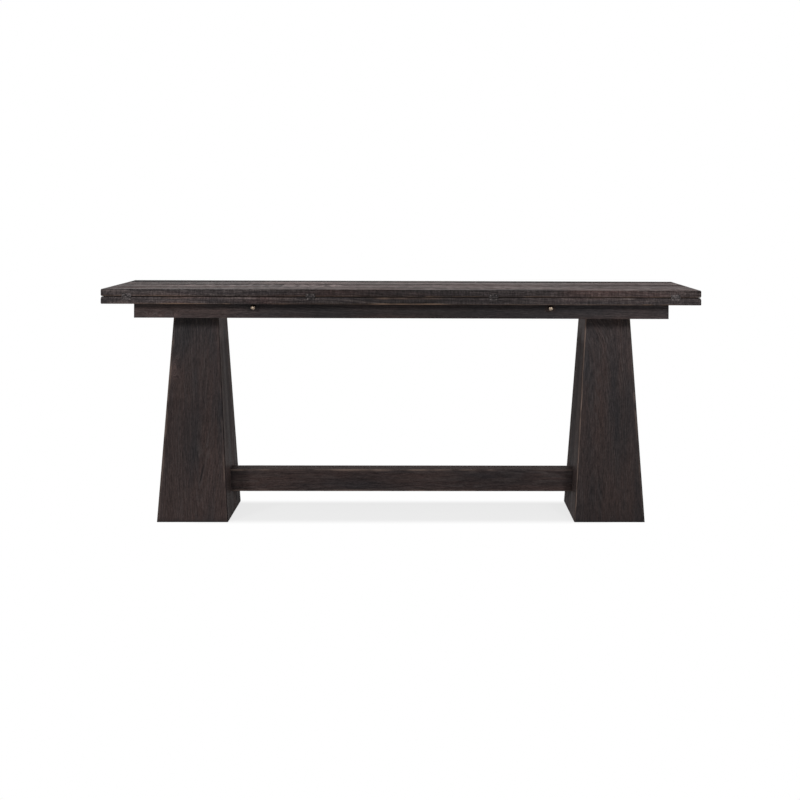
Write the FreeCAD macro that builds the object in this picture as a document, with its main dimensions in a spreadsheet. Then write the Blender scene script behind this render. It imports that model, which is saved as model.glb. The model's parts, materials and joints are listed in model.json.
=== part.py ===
import FreeCAD, Part
import os
import Sketcher

# Flip-top console table. Origin on the floor under the middle of the top, +Z up, front towards -Y.
doc = FreeCAD.newDocument("FlipTopConsole")
sheet = doc.addObject("Spreadsheet::Sheet", "Sizes")

# Driving sizes in millimetres: name, value, meaning
driving_sizes = [
    ("table_height", 791.6, "floor to the upper face of the closed top"),
    ("leaf_length", 1981, "length of each leaf"),
    ("leaf_depth", 457, "depth of each leaf, front edge to rear edge"),
    ("leaf_thickness", 23.8, "thickness of each leaf"),
    ("leaf_gap", 1.6, "gap between the closed leaves, kept by the bumpers"),
    ("flip_gap", 1.0, "gap between the leaf edges when the top is open"),
    ("front_plank_depth", 251, "front edge of a leaf to its plank seam"),
    ("seam_groove", 3, "easing of each plank edge along the seam"),
    ("leaf_edge_radius", 5, "rounding of the leaf edges"),
    ("leaf_corner_extra", 1.5, "how much larger the plan corners are rounded than the edges"),
    ("leaf_arris", 2.5, "easing under the lower leaf"),
    ("bumper_radius", 5, "felt bumper between the leaves"),
    ("bumper_inset", 38, "bumper centre in from the leaf's rear and end edges"),
    ("bumper_play", 0.1, "clearance over a bumper"),
    ("apron_end_overhang", 99, "leaf beyond the apron box at each end"),
    ("apron_depth", 360, "outside depth of the apron box"),
    ("apron_height", 50, "height of the apron rails"),
    ("rail_thickness", 20, "thickness of the apron rails"),
    ("rail_arris", 1.5, "easing of the rails' lower edges"),
    ("corner_block_leg", 60, "leg of a glue block in an apron corner"),
    ("top_screw_inset", 20, "top screw from each rail, in a corner block"),
    ("top_screw_radius", 2.2, "shank of a top screw"),
    ("top_screw_head_radius", 4.5, "head of a top screw"),
    ("top_screw_head", 3, "height of a top screw's head"),
    ("top_screw_well_radius", 5.2, "counterbore for a top screw's head"),
    ("top_screw_well", 22, "depth of that counterbore"),
    ("top_screw_bite", 14, "how far a top screw goes into the lower leaf"),
    ("guide_screw_offset", 90, "top screws in a loper guide, from its middle"),
    ("screw_play", 0.05, "clearance round a screw's thread"),
    ("blind_hole_extra", 1, "how much deeper a blind hole is than what goes into it"),
    ("pylon_inset", 188.5, "end of the apron box to the middle of a pylon"),
    ("pylon_base_width", 239, "pylon along the table, at its foot"),
    ("pylon_base_depth", 287, "pylon front to rear, at its foot"),
    ("pylon_top_width", 152, "pylon along the table, under the apron"),
    ("pylon_top_depth", 174, "pylon front to rear, under the apron"),
    ("pylon_board", 20, "thickness of a pylon board, measured level"),
    ("pylon_arris", 4, "easing of the pylon's mitred corners"),
    ("top_block_height", 45, "solid block in the head of a pylon"),
    ("corner_post", 34, "width of a corner post in the foot of a pylon"),
    ("corner_post_height", 55, "height of a corner post"),
    ("glide_radius", 11, "floor glide"),
    ("glide_height", 2, "floor glide under the pylon"),
    ("glide_nail_radius", 1.5, "nail of a floor glide"),
    ("glide_nail_length", 18, "nail of a floor glide"),
    ("mounting_plate", 18, "thickness of the plate over a pylon"),
    ("mounting_plate_width", 200, "that plate along the table"),
    ("bolt_radius", 4, "shank of the frame bolts"),
    ("bolt_hole_play", 0.3, "clearance round a bolt in its through hole"),
    ("bolt_head_radius", 7.5, "corner radius of a hexagon head"),
    ("bolt_head", 5.3, "height of a hexagon head"),
    ("washer_radius", 9, "washer under a hexagon head"),
    ("washer_thickness", 1.6, "washer under a hexagon head"),
    ("pylon_bolt_x", 34, "pylon bolt from the pylon's middle, along the table"),
    ("pylon_bolt_y", 44, "pylon bolt from the pylon's middle, front to rear"),
    ("pylon_bolt_bite", 36, "how far a pylon bolt goes into the top block"),
    ("stretcher_height", 76, "height of the stretcher"),
    ("stretcher_depth", 64, "stretcher front to rear"),
    ("stretcher_bottom", 79, "floor to the underside of the stretcher"),
    ("stretcher_arris", 2.5, "easing of the stretcher's long edges"),
    ("stretcher_bolt_pitch", 36, "height between the two bolts at one end"),
    ("stretcher_bolt_bite", 45, "how far a bolt goes into the stretcher"),
    ("insert_radius", 6, "threaded insert in the stretcher's end"),
    ("insert_length", 22, "threaded insert"),
    ("insert_depth", 4, "insert below the stretcher's end face"),
    ("cleat_thickness", 28, "cleat behind the pylon's inner board, at its upper end"),
    ("cleat_depth", 110, "that cleat front to rear"),
    ("cleat_margin", 20, "that cleat above and below the stretcher"),
    ("loper_inset", 208.5, "middle of a pylon to the middle of a loper, towards the table's middle"),
    ("loper_width", 34, "width of a loper"),
    ("loper_height", 25, "height of a loper"),
    ("loper_play", 0.3, "clearance beside and over a loper"),
    ("loper_rear_gap", 5, "loper to the rear rail when pushed home"),
    ("loper_travel", 185, "how far a loper pulls out"),
    ("loper_arris", 0.8, "easing round a loper's front face"),
    ("guide_web", 18, "thickness of a loper guide beside the loper"),
    ("guide_ledge", 8, "width of the ledge that carries the loper"),
    ("guide_ledge_height", 12, "height of that ledge"),
    ("stop_pin_radius", 4, "stop pin under a loper"),
    ("stop_pin_set", 20, "stop pin inside the loper"),
    ("stop_pin_drop", 9, "stop pin below the loper"),
    ("knob_drop", 12.8, "underside of the lower leaf to the middle of a knob"),
    ("knob_radius", 8.75, "ball of a knob"),
    ("knob_neck", 8, "front of the loper to the start of the ball"),
    ("knob_neck_radius", 3.8, "neck of a knob"),
    ("knob_flange_radius", 6.2, "flange of a knob against the loper"),
    ("knob_flange", 1.8, "thickness of that flange"),
    ("stud_radius", 2, "stud of a knob"),
    ("stud_in_knob", 14, "stud inside the knob"),
    ("stud_in_loper", 24, "stud inside the loper"),
    ("hinge_inset", 86, "end of a leaf to the middle of its outermost hinge"),
    ("hinge_length", 31, "length of a hinge"),
    ("hinge_reach", 10.8, "hinge axis to the far edge of a plate"),
    ("hinge_plate", 1.6, "thickness of a hinge plate"),
    ("barrel_radius", 2.6, "hinge barrel"),
    ("barrel_relief", 0.3, "clearance round a barrel"),
    ("hinge_pin_radius", 1.3, "hinge pin"),
    ("hinge_pin_play", 0.05, "clearance round a hinge pin"),
    ("knuckle_gap", 0.3, "clearance between knuckles"),
    ("gain_play", 0.15, "clearance round a hinge plate in its gain"),
    ("hinge_screw_radius", 1.1, "shank of a hinge screw"),
    ("hinge_screw_head_radius", 2.3, "countersunk head of a hinge screw"),
    ("hinge_screw_head", 1.3, "depth of that head"),
    ("hinge_screw_length", 15, "length of a hinge screw"),
    ("hinge_screw_pitch", 19, "distance between the screws of a plate"),
    ("hinge_screw_offset", 6.6, "hinge axis to a plate's screws"),
]
for row, (alias, number, meaning) in enumerate(driving_sizes, start=1):
    sheet.set(f"A{row}", alias)
    sheet.set(f"B{row}", str(number))
    sheet.set(f"C{row}", meaning)
    sheet.setAlias(f"B{row}", alias)
doc.recompute()

# Levels and places that follow from the driving sizes, as expressions on the sheet
upper_leaf_top = "Sizes.table_height"
upper_leaf_bottom = "(Sizes.table_height - Sizes.leaf_thickness)"
lower_leaf_top = f"({upper_leaf_bottom} - Sizes.leaf_gap)"
lower_leaf_bottom = f"({lower_leaf_top} - Sizes.leaf_thickness)"
apron_bottom = f"({lower_leaf_bottom} - Sizes.apron_height)"
leaf_front = "(-Sizes.leaf_depth / 2)"
leaf_rear = "(Sizes.leaf_depth / 2)"
leaf_seam = "(Sizes.front_plank_depth - Sizes.leaf_depth / 2)"
hinge_axis_y = f"({leaf_front} - Sizes.flip_gap / 2)"
hinge_axis_z = f"({upper_leaf_bottom} - Sizes.leaf_gap / 2)"
apron_half_length = "(Sizes.leaf_length / 2 - Sizes.apron_end_overhang)"
apron_half_depth = "(Sizes.apron_depth / 2)"
rail_inner_y = f"({apron_half_depth} - Sizes.rail_thickness)"
rail_inner_x = f"({apron_half_length} - Sizes.rail_thickness)"
pylon_spacing = f"({apron_half_length} - Sizes.pylon_inset)"
loper_spacing = f"({pylon_spacing} - Sizes.loper_inset)"
loper_top = f"({lower_leaf_bottom} - Sizes.loper_play)"
loper_bottom = f"({loper_top} - Sizes.loper_height)"
loper_half_slot = "(Sizes.loper_width / 2 + Sizes.loper_play)"
loper_length = f"({apron_half_depth} + {rail_inner_y} - Sizes.loper_rear_gap)"
pylon_foot = "Sizes.glide_height"
pylon_rise = f"({apron_bottom} - {pylon_foot})"
stretcher_top = "(Sizes.stretcher_bottom + Sizes.stretcher_height)"
stretcher_middle = "(Sizes.stretcher_bottom + Sizes.stretcher_height / 2)"
cleat_bottom = "(Sizes.stretcher_bottom - Sizes.cleat_margin)"
cleat_top = f"({stretcher_top} + Sizes.cleat_margin)"
bolt_hole_radius = "(Sizes.bolt_radius + Sizes.bolt_hole_play)"
bolt_thread_radius = "(Sizes.bolt_radius + Sizes.screw_play)"

# Turns that carry a piece's own +Z axis to the named direction
upward = FreeCAD.Rotation()
downward = FreeCAD.Rotation(FreeCAD.Vector(1, 0, 0), 180)
rearward = FreeCAD.Rotation(FreeCAD.Vector(1, 0, 0), -90)
rightward = FreeCAD.Rotation(FreeCAD.Vector(0, 1, 0), 90)
leftward = FreeCAD.Rotation(FreeCAD.Vector(0, 1, 0), -90)
forward = FreeCAD.Rotation(FreeCAD.Vector(1, 0, 0), 90)

sides = {"left": "-1", "right": "1"}
other_way = {"-1": "1", "1": "-1"}
facings = {"front": "-1", "rear": "1"}
nodes = []


def reading(expression):
    return float(sheet.evalExpression(expression))


def bind(piece, bindings):
    for name, expression in bindings.items():
        piece.setExpression(name, expression)


def place(piece, x, y, z, turn=upward):
    piece.Placement = FreeCAD.Placement(FreeCAD.Vector(), turn)
    bind(piece, {"Placement.Base.x": x, "Placement.Base.y": y, "Placement.Base.z": z})


def node(piece, label):
    piece.Label = label
    nodes.append(piece)
    return piece


# A block between low and high expressions on each axis
def block(x, y, z):
    piece = doc.addObject("Part::Box", "Block")
    bind(piece, {"Length": f"{x[1]} - ({x[0]})", "Width": f"{y[1]} - ({y[0]})", "Height": f"{z[1]} - ({z[0]})"})
    place(piece, x[0], y[0], z[0])
    return piece


def rod(radius, length, x, y, z, turn=upward):
    piece = doc.addObject("Part::Cylinder", "Rod")
    bind(piece, {"Radius": radius, "Height": length})
    place(piece, x, y, z, turn)
    return piece


def taper(start_radius, end_radius, length, x, y, z, turn=upward):
    piece = doc.addObject("Part::Cone", "Taper")
    bind(piece, {"Radius1": start_radius, "Radius2": end_radius, "Height": length})
    place(piece, x, y, z, turn)
    return piece


# A block that tapers from one rectangle to another between two levels, about a pylon's middle.
# Its own Y axis runs from one rectangle to the other, and the turn stands that axis upright.
def frustum(low, high, low_half_width, low_half_depth, high_half_width, high_half_depth, x):
    piece = doc.addObject("Part::Wedge", "Frustum")
    bind(piece, {"Ymin": low, "Ymax": high})
    bind(piece, {"Xmin": f"-{low_half_width}", "Xmax": low_half_width})
    bind(piece, {"Zmin": f"-{low_half_depth}", "Zmax": low_half_depth})
    bind(piece, {"X2min": f"-{high_half_width}", "X2max": high_half_width})
    bind(piece, {"Z2min": f"-{high_half_depth}", "Z2max": high_half_depth})
    place(piece, x, "0", "0", forward)
    return piece


def joined(pieces):
    union = doc.addObject("Part::MultiFuse", "Joined")
    union.Shapes = pieces
    return union


def less(piece, tools):
    result = doc.addObject("Part::Cut", "Less")
    result.Base = piece
    result.Tool = joined(tools) if len(tools) > 1 else tools[0]
    return result


def both(head, shank, x, y, z, turn=upward):
    result = doc.addObject("Part::Fuse", "Both")
    result.Base = head
    result.Tool = shank
    place(result, x, y, z, turn)
    return result


def group(label, pieces):
    result = doc.addObject("Part::Compound", "Group")
    result.Links = pieces
    return node(result, label)


def origin_plane(body, role):
    return next(plane for plane in body.Origin.OriginFeatures if plane.Role == role)


# A closed outline whose corners sit at pairs of expressions, on a plane of the body
def outline(body, role, corners, offset):
    sketch = body.newObject("Sketcher::SketchObject", "Outline")
    sketch.AttachmentSupport = [(origin_plane(body, role), "")]
    sketch.MapMode = "FlatFace"
    sketch.setExpression("AttachmentOffset.Base.z", offset)
    points = [FreeCAD.Vector(reading(across), reading(up), 0) for across, up in corners]
    count = len(points)
    for first in range(count):
        sketch.addGeometry(Part.LineSegment(points[first], points[(first + 1) % count]))
    for first in range(count):
        sketch.addConstraint(Sketcher.Constraint("Coincident", first, 2, (first + 1) % count, 1))
    for first, (across, up) in enumerate(corners):
        for kind, expression in (("DistanceX", across), ("DistanceY", up)):
            rule = Sketcher.Constraint(kind, -1, 1, first, 1, reading(expression))
            sketch.setExpression(f"Constraints[{sketch.addConstraint(rule)}]", expression)
    return sketch


# An outline carried along its plane's normal, or to both sides of the plane
def padded(name, role, corners, length, offset="0", both_ways=False):
    body = doc.addObject("PartDesign::Body", name)
    profile = outline(body, role, corners, offset)
    pad = body.newObject("PartDesign::Pad", "Pad")
    pad.Profile = profile
    pad.SideType = "Symmetric" if both_ways else "One side"
    pad.setExpression("Length", length)
    doc.recompute()
    return body


def edges_where(shape, passes):
    return [f"Edge{number}" for number, edge in enumerate(shape.Edges, start=1) if passes(edge)]


def rounded(body, passes, radius):
    base = body.Tip
    fillet = body.newObject("PartDesign::Fillet", "Rounding")
    fillet.Base = (base, edges_where(base.Shape, passes))
    fillet.setExpression("Radius", radius)
    doc.recompute()


def near(measure, target):
    return abs(measure - target) < 1e-4


def spans(edge, axis):
    box = edge.BoundBox
    return (box.XLength, box.YLength, box.ZLength)[axis]


# Whether an edge lies wholly in the level plane at a height
def level_at(edge, height):
    return near(edge.BoundBox.ZMin, height) and near(edge.BoundBox.ZMax, height)


# Whether an edge runs along the table at a depth and a height
def runs_along(edge, depth, height):
    box = edge.BoundBox
    return level_at(edge, height) and near(box.YMin, depth) and near(box.YMax, depth)


# Planks of the two leaves: an eased seam edge, rounded outer edges and rounded plan corners
def plank(name, outer, low, high, low_radius):
    ease = "Sizes.seam_groove"
    inward = "-" if outer == leaf_front else "+"
    body = padded(name, "YZ_Plane", [
        (outer, low), (f"{leaf_seam} {inward} {ease}", low), (leaf_seam, f"{low} + {ease}"),
        (leaf_seam, f"{high} - {ease}"), (f"{leaf_seam} {inward} {ease}", high), (outer, high),
    ], "Sizes.leaf_length", both_ways=True)
    outer_y = reading(outer)
    seam_y = reading(f"{leaf_seam} {inward} {ease}")
    low_z = reading(low)
    high_z = reading(high)
    rounded(body, lambda edge: spans(edge, 2) > 0 and near(edge.BoundBox.YMin, outer_y)
            and near(edge.BoundBox.YMax, outer_y), "Sizes.leaf_edge_radius + Sizes.leaf_corner_extra")
    rounded(body, lambda edge: level_at(edge, high_z) and not runs_along(edge, seam_y, high_z),
            "Sizes.leaf_edge_radius")
    rounded(body, lambda edge: level_at(edge, low_z) and not runs_along(edge, seam_y, low_z), low_radius)
    return body


# Places of the four hinges, evenly spaced along the front edge and counted from the left
outer_hinge = "(Sizes.leaf_length / 2 - Sizes.hinge_inset)"
hinge_places = [f"-{outer_hinge}", f"(-{outer_hinge} / 3)", f"({outer_hinge} / 3)", outer_hinge]
hinge_screw_places = ["(-Sizes.hinge_screw_pitch / 2)", "(Sizes.hinge_screw_pitch / 2)"]


# Gains, barrel reliefs and pilot holes that the hinges need in one leaf: way is -1 below the axis, 1 above
def hinge_seats(way):
    half_gain = "(Sizes.hinge_length / 2 + Sizes.gain_play)"
    far_edge = "(Sizes.hinge_reach + Sizes.gain_play)"
    near_z, far_z = (hinge_axis_z, f"{hinge_axis_z} + {far_edge}")
    if way == "-1":
        near_z, far_z = (f"{hinge_axis_z} - {far_edge}", hinge_axis_z)
    back = f"{leaf_front} + Sizes.hinge_plate"
    tools = []
    for x in hinge_places:
        tools.append(block((f"{x} - {half_gain}", f"{x} + {half_gain}"), (hinge_axis_y, back), (near_z, far_z)))
        tools.append(rod("Sizes.barrel_radius + Sizes.barrel_relief", f"2 * {half_gain}",
                         f"{x} - {half_gain}", hinge_axis_y, hinge_axis_z, rightward))
        for step in hinge_screw_places:
            tools.append(rod("Sizes.hinge_screw_radius + Sizes.screw_play",
                             "Sizes.hinge_screw_length + Sizes.blind_hole_extra", f"{x} + {step}", leaf_front,
                             f"{hinge_axis_z} + {way} * Sizes.hinge_screw_offset", rearward))
    return tools


# Places of the screws that hold the lower leaf down: one in each apron corner, two in each loper guide
def guide_middle(side, way):
    return f"({side} * {loper_spacing} + {way} * ({loper_half_slot} + Sizes.guide_web / 2))"


def corner_screw(side, facing):
    inset = "Sizes.top_screw_inset"
    return f"({side} * ({rail_inner_x} - {inset}))", f"({facing} * ({rail_inner_y} - {inset}))"


def top_screw_places(facing):
    guide_y = f"({facing} * Sizes.guide_screw_offset)"
    places = [corner_screw(side, facing) for side in sides.values()]
    places += [(guide_middle(side, way), guide_y) for side in sides.values() for way in ("-1", "1")]
    return places


def top_screw_pilots(facing):
    return [rod("Sizes.top_screw_radius + Sizes.screw_play", "Sizes.top_screw_bite + Sizes.blind_hole_extra",
                x, y, lower_leaf_bottom) for x, y in top_screw_places(facing)]


# The counterbore and shank hole of one top screw through a block of the apron's height
def top_screw_hole(x, y):
    well = rod("Sizes.top_screw_well_radius", "Sizes.top_screw_well", x, y, apron_bottom)
    shank = rod("Sizes.top_screw_radius + Sizes.screw_play", "Sizes.apron_height", x, y, apron_bottom)
    return [well, shank]


lower_front = plank("LowerFrontBlank", leaf_front, lower_leaf_bottom, lower_leaf_top, "Sizes.leaf_arris")
lower_rear = plank("LowerRearBlank", leaf_rear, lower_leaf_bottom, lower_leaf_top, "Sizes.leaf_arris")
upper_front = plank("UpperFrontBlank", leaf_front, upper_leaf_bottom, upper_leaf_top, "Sizes.leaf_edge_radius")
upper_rear = plank("UpperRearBlank", leaf_rear, upper_leaf_bottom, upper_leaf_top, "Sizes.leaf_edge_radius")
node(less(lower_front, hinge_seats("-1") + top_screw_pilots("-1")), "lower_leaf_front_plank")
node(less(lower_rear, top_screw_pilots("1")), "lower_leaf_rear_plank")
node(less(upper_front, hinge_seats("1")), "upper_leaf_front_plank")
node(upper_rear, "upper_leaf_rear_plank")

# Felt bumpers on the lower leaf
bumper_end = "(Sizes.leaf_length / 2 - Sizes.bumper_inset)"
bumper_rear = f"({leaf_rear} - Sizes.bumper_inset)"
bumper_places = [(f"-{bumper_end}", bumper_rear), ("0", bumper_rear), (bumper_end, bumper_rear)]
bumper_places += [(f"-{bumper_end}", "0"), (bumper_end, "0")]
group("leaf_bumpers", [rod("Sizes.bumper_radius", "Sizes.leaf_gap - Sizes.bumper_play", x, y, lower_leaf_top)
                       for x, y in bumper_places])

# Apron box: the front rail is notched from above for the lopers
notch_corners = []
for side in sides.values():
    middle = f"{side} * {loper_spacing}"
    notch_corners += [
        (f"{middle} - {loper_half_slot}", lower_leaf_bottom), (f"{middle} - {loper_half_slot}", loper_bottom),
        (f"{middle} + {loper_half_slot}", loper_bottom), (f"{middle} + {loper_half_slot}", lower_leaf_bottom),
    ]
front_rail = padded("FrontRail", "XZ_Plane", [
    (f"-{apron_half_length}", apron_bottom), (f"-{apron_half_length}", lower_leaf_bottom), *notch_corners,
    (apron_half_length, lower_leaf_bottom), (apron_half_length, apron_bottom),
], "Sizes.rail_thickness", rail_inner_y)
rear_rail = padded("RearRail", "XZ_Plane", [
    (f"-{apron_half_length}", apron_bottom), (f"-{apron_half_length}", lower_leaf_bottom),
    (apron_half_length, lower_leaf_bottom), (apron_half_length, apron_bottom),
], "Sizes.rail_thickness", f"-{apron_half_depth}")
for body, label, outer in (
    (front_rail, "apron_front_rail", f"-{apron_half_depth}"),
    (rear_rail, "apron_rear_rail", apron_half_depth),
):
    outer_y = reading(outer)
    bottom_z = reading(apron_bottom)
    rounded(body, lambda edge: runs_along(edge, outer_y, bottom_z), "Sizes.rail_arris")
    node(body, label)
between_rails = (f"-{rail_inner_y}", rail_inner_y)
apron_levels = (apron_bottom, lower_leaf_bottom)
half_rail = "Sizes.rail_thickness / 2"
node(block((f"-{apron_half_length}", f"-{rail_inner_x}"), between_rails, apron_levels), "apron_left_rail")
node(block((rail_inner_x, apron_half_length), between_rails, apron_levels), "apron_right_rail")
node(block((f"-{half_rail}", half_rail), between_rails, apron_levels), "apron_centre_rail")


def corner_block(side, facing):
    corner_x = f"({side} * {rail_inner_x})"
    corner_y = f"({facing} * {rail_inner_y})"
    blank = padded("CornerBlock", "XY_Plane", [
        (corner_x, corner_y),
        (f"{corner_x} - {side} * Sizes.corner_block_leg", corner_y),
        (corner_x, f"{corner_y} - {facing} * Sizes.corner_block_leg"),
    ], "Sizes.apron_height", apron_bottom)
    return less(blank, top_screw_hole(*corner_screw(side, facing)))


group("apron_corner_blocks",
      [corner_block(side, facing) for side in sides.values() for facing in facings.values()])


# Loper guides: an upright web beside the loper and a ledge under it
def loper_guide(side, way):
    inner = f"({side} * {loper_spacing} + {way} * {loper_half_slot})"
    outer = f"({inner} + {way} * Sizes.guide_web)"
    ledge = f"({inner} - {way} * Sizes.guide_ledge)"
    ledge_bottom = f"({loper_bottom} - Sizes.guide_ledge_height)"
    blank = padded("Guide", "XZ_Plane", [
        (outer, apron_bottom), (inner, apron_bottom), (inner, ledge_bottom), (ledge, ledge_bottom),
        (ledge, loper_bottom), (inner, loper_bottom), (inner, lower_leaf_bottom), (outer, lower_leaf_bottom),
    ], f"2 * {rail_inner_y}", both_ways=True)
    holes = []
    for facing in facings.values():
        holes += top_screw_hole(guide_middle(side, way), f"({facing} * Sizes.guide_screw_offset)")
    return less(blank, holes)


for hand, side in sides.items():
    node(loper_guide(side, side), f"{hand}_loper_outer_guide")
    node(loper_guide(side, other_way[side]), f"{hand}_loper_inner_guide")

top_screw_shank = rod("Sizes.top_screw_radius", f"{lower_leaf_bottom} - {apron_bottom} - Sizes.top_screw_well"
                      " + Sizes.top_screw_bite", "0", "0", "0")
top_screw_cap = rod("Sizes.top_screw_head_radius", "Sizes.top_screw_head", "0", "0", "-Sizes.top_screw_head")
group("top_fixing_screws", [
    both(top_screw_cap, top_screw_shank, x, y, f"{apron_bottom} + Sizes.top_screw_well")
    for facing in facings.values() for x, y in top_screw_places(facing)
])


# Half width and half depth of a pylon's outside at a height
def pylon_half(base, top, height):
    return f"({base} / 2 - ({base} - {top}) / 2 * ({height} - {pylon_foot}) / {pylon_rise})"


def half_width_at(height):
    return pylon_half("Sizes.pylon_base_width", "Sizes.pylon_top_width", height)


def half_depth_at(height):
    return pylon_half("Sizes.pylon_base_depth", "Sizes.pylon_top_depth", height)


# A solid with flat faces between a low ring and a high ring of as many points
def flat_sided(low_ring, high_ring):
    count = len(low_ring)
    faces = [Part.Face(Part.makePolygon(ring + ring[:1])) for ring in (low_ring, high_ring)]
    for first in range(count):
        second = (first + 1) % count
        quad = [low_ring[first], low_ring[second], high_ring[second], high_ring[first]]
        faces.append(Part.Face(Part.makePolygon(quad + quad[:1])))
    return Part.Solid(Part.makeShell(faces))


# One level section of a mitred board with eased corners, from its face's half length and distance out
def mitred_ring(half_length, distance, height, turn):
    board = reading("Sizes.pylon_board")
    ease = reading("Sizes.pylon_arris")
    half_row = [(half_length - ease, distance), (half_length - ease / 2, distance - ease / 2),
                (half_length - board, distance - board)]
    row = half_row + [(-along, out) for along, out in reversed(half_row)]
    return [turn.multVec(FreeCAD.Vector(along, -out, height)) for along, out in row]


# The four boards of a pylon, each with its turn about +Z from the front: on the left pylon the inner board
# faces +X, on the right pylon the outer one does
board_turns = {"left": {"front": 0, "rear": 180, "inner": 90, "outer": -90},
               "right": {"front": 0, "rear": 180, "inner": -90, "outer": 90}}


def pylon_board(side, facing, angle):
    turn = FreeCAD.Rotation(FreeCAD.Vector(0, 0, 1), angle)
    along, out = (half_width_at, half_depth_at) if facing in facings else (half_depth_at, half_width_at)
    rings = [mitred_ring(reading(along(height)), reading(out(height)), reading(height), turn)
             for height in (pylon_foot, apron_bottom)]
    board = doc.addObject("Part::Feature", "Board")
    board.Shape = flat_sided(*rings)
    place(board, f"{side} * {pylon_spacing}", "0", "0")
    return board


# Distance from the table's middle to the outside and the inside of a pylon's inner board at a height
def inner_face(height):
    return f"({pylon_spacing} - {half_width_at(height)})"


def inner_board_back(height):
    return f"({inner_face(height)} + Sizes.pylon_board)"


cleat_back = f"({inner_board_back(cleat_top)} + Sizes.cleat_thickness)"
stretcher_bolt_levels = [f"({stretcher_middle} + {way} * Sizes.stretcher_bolt_pitch / 2)"
                         for way in ("-1", "1")]
insert_start = f"({inner_face(stretcher_top)} - Sizes.insert_depth)"
insert_end = f"({insert_start} - Sizes.insert_length)"
bolt_tip = f"({inner_face(stretcher_middle)} - Sizes.stretcher_bolt_bite)"
bolt_hole_end = f"({bolt_tip} - Sizes.blind_hole_extra)"
bolt_seat = f"({cleat_back} + Sizes.washer_thickness)"
toward_middle = {"left": rightward, "right": leftward}


# A rod on a stretcher bolt's line, from one distance from the table's middle to another
def bolt_line_rod(hand, radius, start, end, height):
    return rod(radius, f"{start} - {end}", f"{sides[hand]} * {start}", "0", height, toward_middle[hand])


def stretcher_bolt_holes(hand, radius, start, end):
    return [bolt_line_rod(hand, radius, start, end, height) for height in stretcher_bolt_levels]


# Clear holes for the stretcher bolts through a cleat and its inner board
def clear_bolt_holes(hand):
    return stretcher_bolt_holes(hand, bolt_hole_radius, cleat_back, inner_face(cleat_bottom))


def pylon_bolt_places(side):
    return [(f"({side} * {pylon_spacing} + {way} * Sizes.pylon_bolt_x)", f"({facing} * Sizes.pylon_bolt_y)")
            for way in ("-1", "1") for facing in ("-1", "1")]


# Glide places under the corner posts of a pylon
def post_middle(half_size):
    return f"({half_size} - Sizes.pylon_board - Sizes.corner_post / 2)"


def glide_places(side):
    post_x = post_middle("Sizes.pylon_base_width / 2")
    post_y = post_middle("Sizes.pylon_base_depth / 2")
    return [(f"({side} * {pylon_spacing} + {way} * {post_x})", f"({facing} * {post_y})")
            for way in ("-1", "1") for facing in ("-1", "1")]


# Corner posts fill the corners of the pylon's foot and follow its slope
def corner_posts(side):
    top = f"({pylon_foot} + Sizes.corner_post_height)"
    board = "Sizes.pylon_board"
    core = frustum(pylon_foot, top, f"({half_width_at(pylon_foot)} - {board})",
                   f"({half_depth_at(pylon_foot)} - {board})", f"({half_width_at(top)} - {board})",
                   f"({half_depth_at(top)} - {board})", f"{side} * {pylon_spacing}")
    reach = "(Sizes.corner_post / 2)"
    beyond = "(Sizes.corner_post / 2 + Sizes.pylon_board)"
    blanks = []
    for x, y in glide_places(side):
        out_x = reading(f"{x} - {side} * {pylon_spacing}") > 0
        out_y = reading(y) > 0
        blanks.append(block((f"{x} - {reach if out_x else beyond}", f"{x} + {beyond if out_x else reach}"),
                            (f"{y} - {reach if out_y else beyond}", f"{y} + {beyond if out_y else reach}"),
                            (pylon_foot, top)))
    posts = doc.addObject("Part::Common", "Posts")
    posts.Base = joined(blanks)
    posts.Tool = core
    nails = [rod("Sizes.glide_nail_radius + Sizes.screw_play",
                 "Sizes.glide_nail_length + Sizes.blind_hole_extra", x, y, pylon_foot)
             for x, y in glide_places(side)]
    return less(posts, nails)


# Mounting plate across the apron over a pylon
def mounting_plate(side):
    middle = f"{side} * {pylon_spacing}"
    half = "Sizes.mounting_plate_width / 2"
    plate = block((f"{middle} - {half}", f"{middle} + {half}"), between_rails,
                  (apron_bottom, f"{apron_bottom} + Sizes.mounting_plate"))
    holes = [rod(bolt_hole_radius, "Sizes.mounting_plate", x, y, apron_bottom)
             for x, y in pylon_bolt_places(side)]
    return less(plate, holes)


# Solid block in the head of a pylon, drilled for the pylon bolts
def top_block(side):
    low = f"({apron_bottom} - Sizes.top_block_height)"
    board = "Sizes.pylon_board"
    blank = frustum(low, apron_bottom, f"({half_width_at(low)} - {board})", f"({half_depth_at(low)} - {board})",
                    f"({half_width_at(apron_bottom)} - {board})", f"({half_depth_at(apron_bottom)} - {board})",
                    f"{side} * {pylon_spacing}")
    hole_depth = "Sizes.pylon_bolt_bite + Sizes.blind_hole_extra"
    holes = [rod(bolt_thread_radius, hole_depth, x, y, apron_bottom, downward)
             for x, y in pylon_bolt_places(side)]
    return less(blank, holes)


# Cleat behind the inner board: its face follows the board's slope and its back is upright for the washers
def stretcher_cleat(hand):
    side = sides[hand]
    blank = padded("Cleat", "XZ_Plane", [
        (f"{side} * {inner_board_back(cleat_bottom)}", cleat_bottom), (f"{side} * {cleat_back}", cleat_bottom),
        (f"{side} * {cleat_back}", cleat_top), (f"{side} * {inner_board_back(cleat_top)}", cleat_top),
    ], "Sizes.cleat_depth", both_ways=True)
    return less(blank, clear_bolt_holes(hand))


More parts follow.
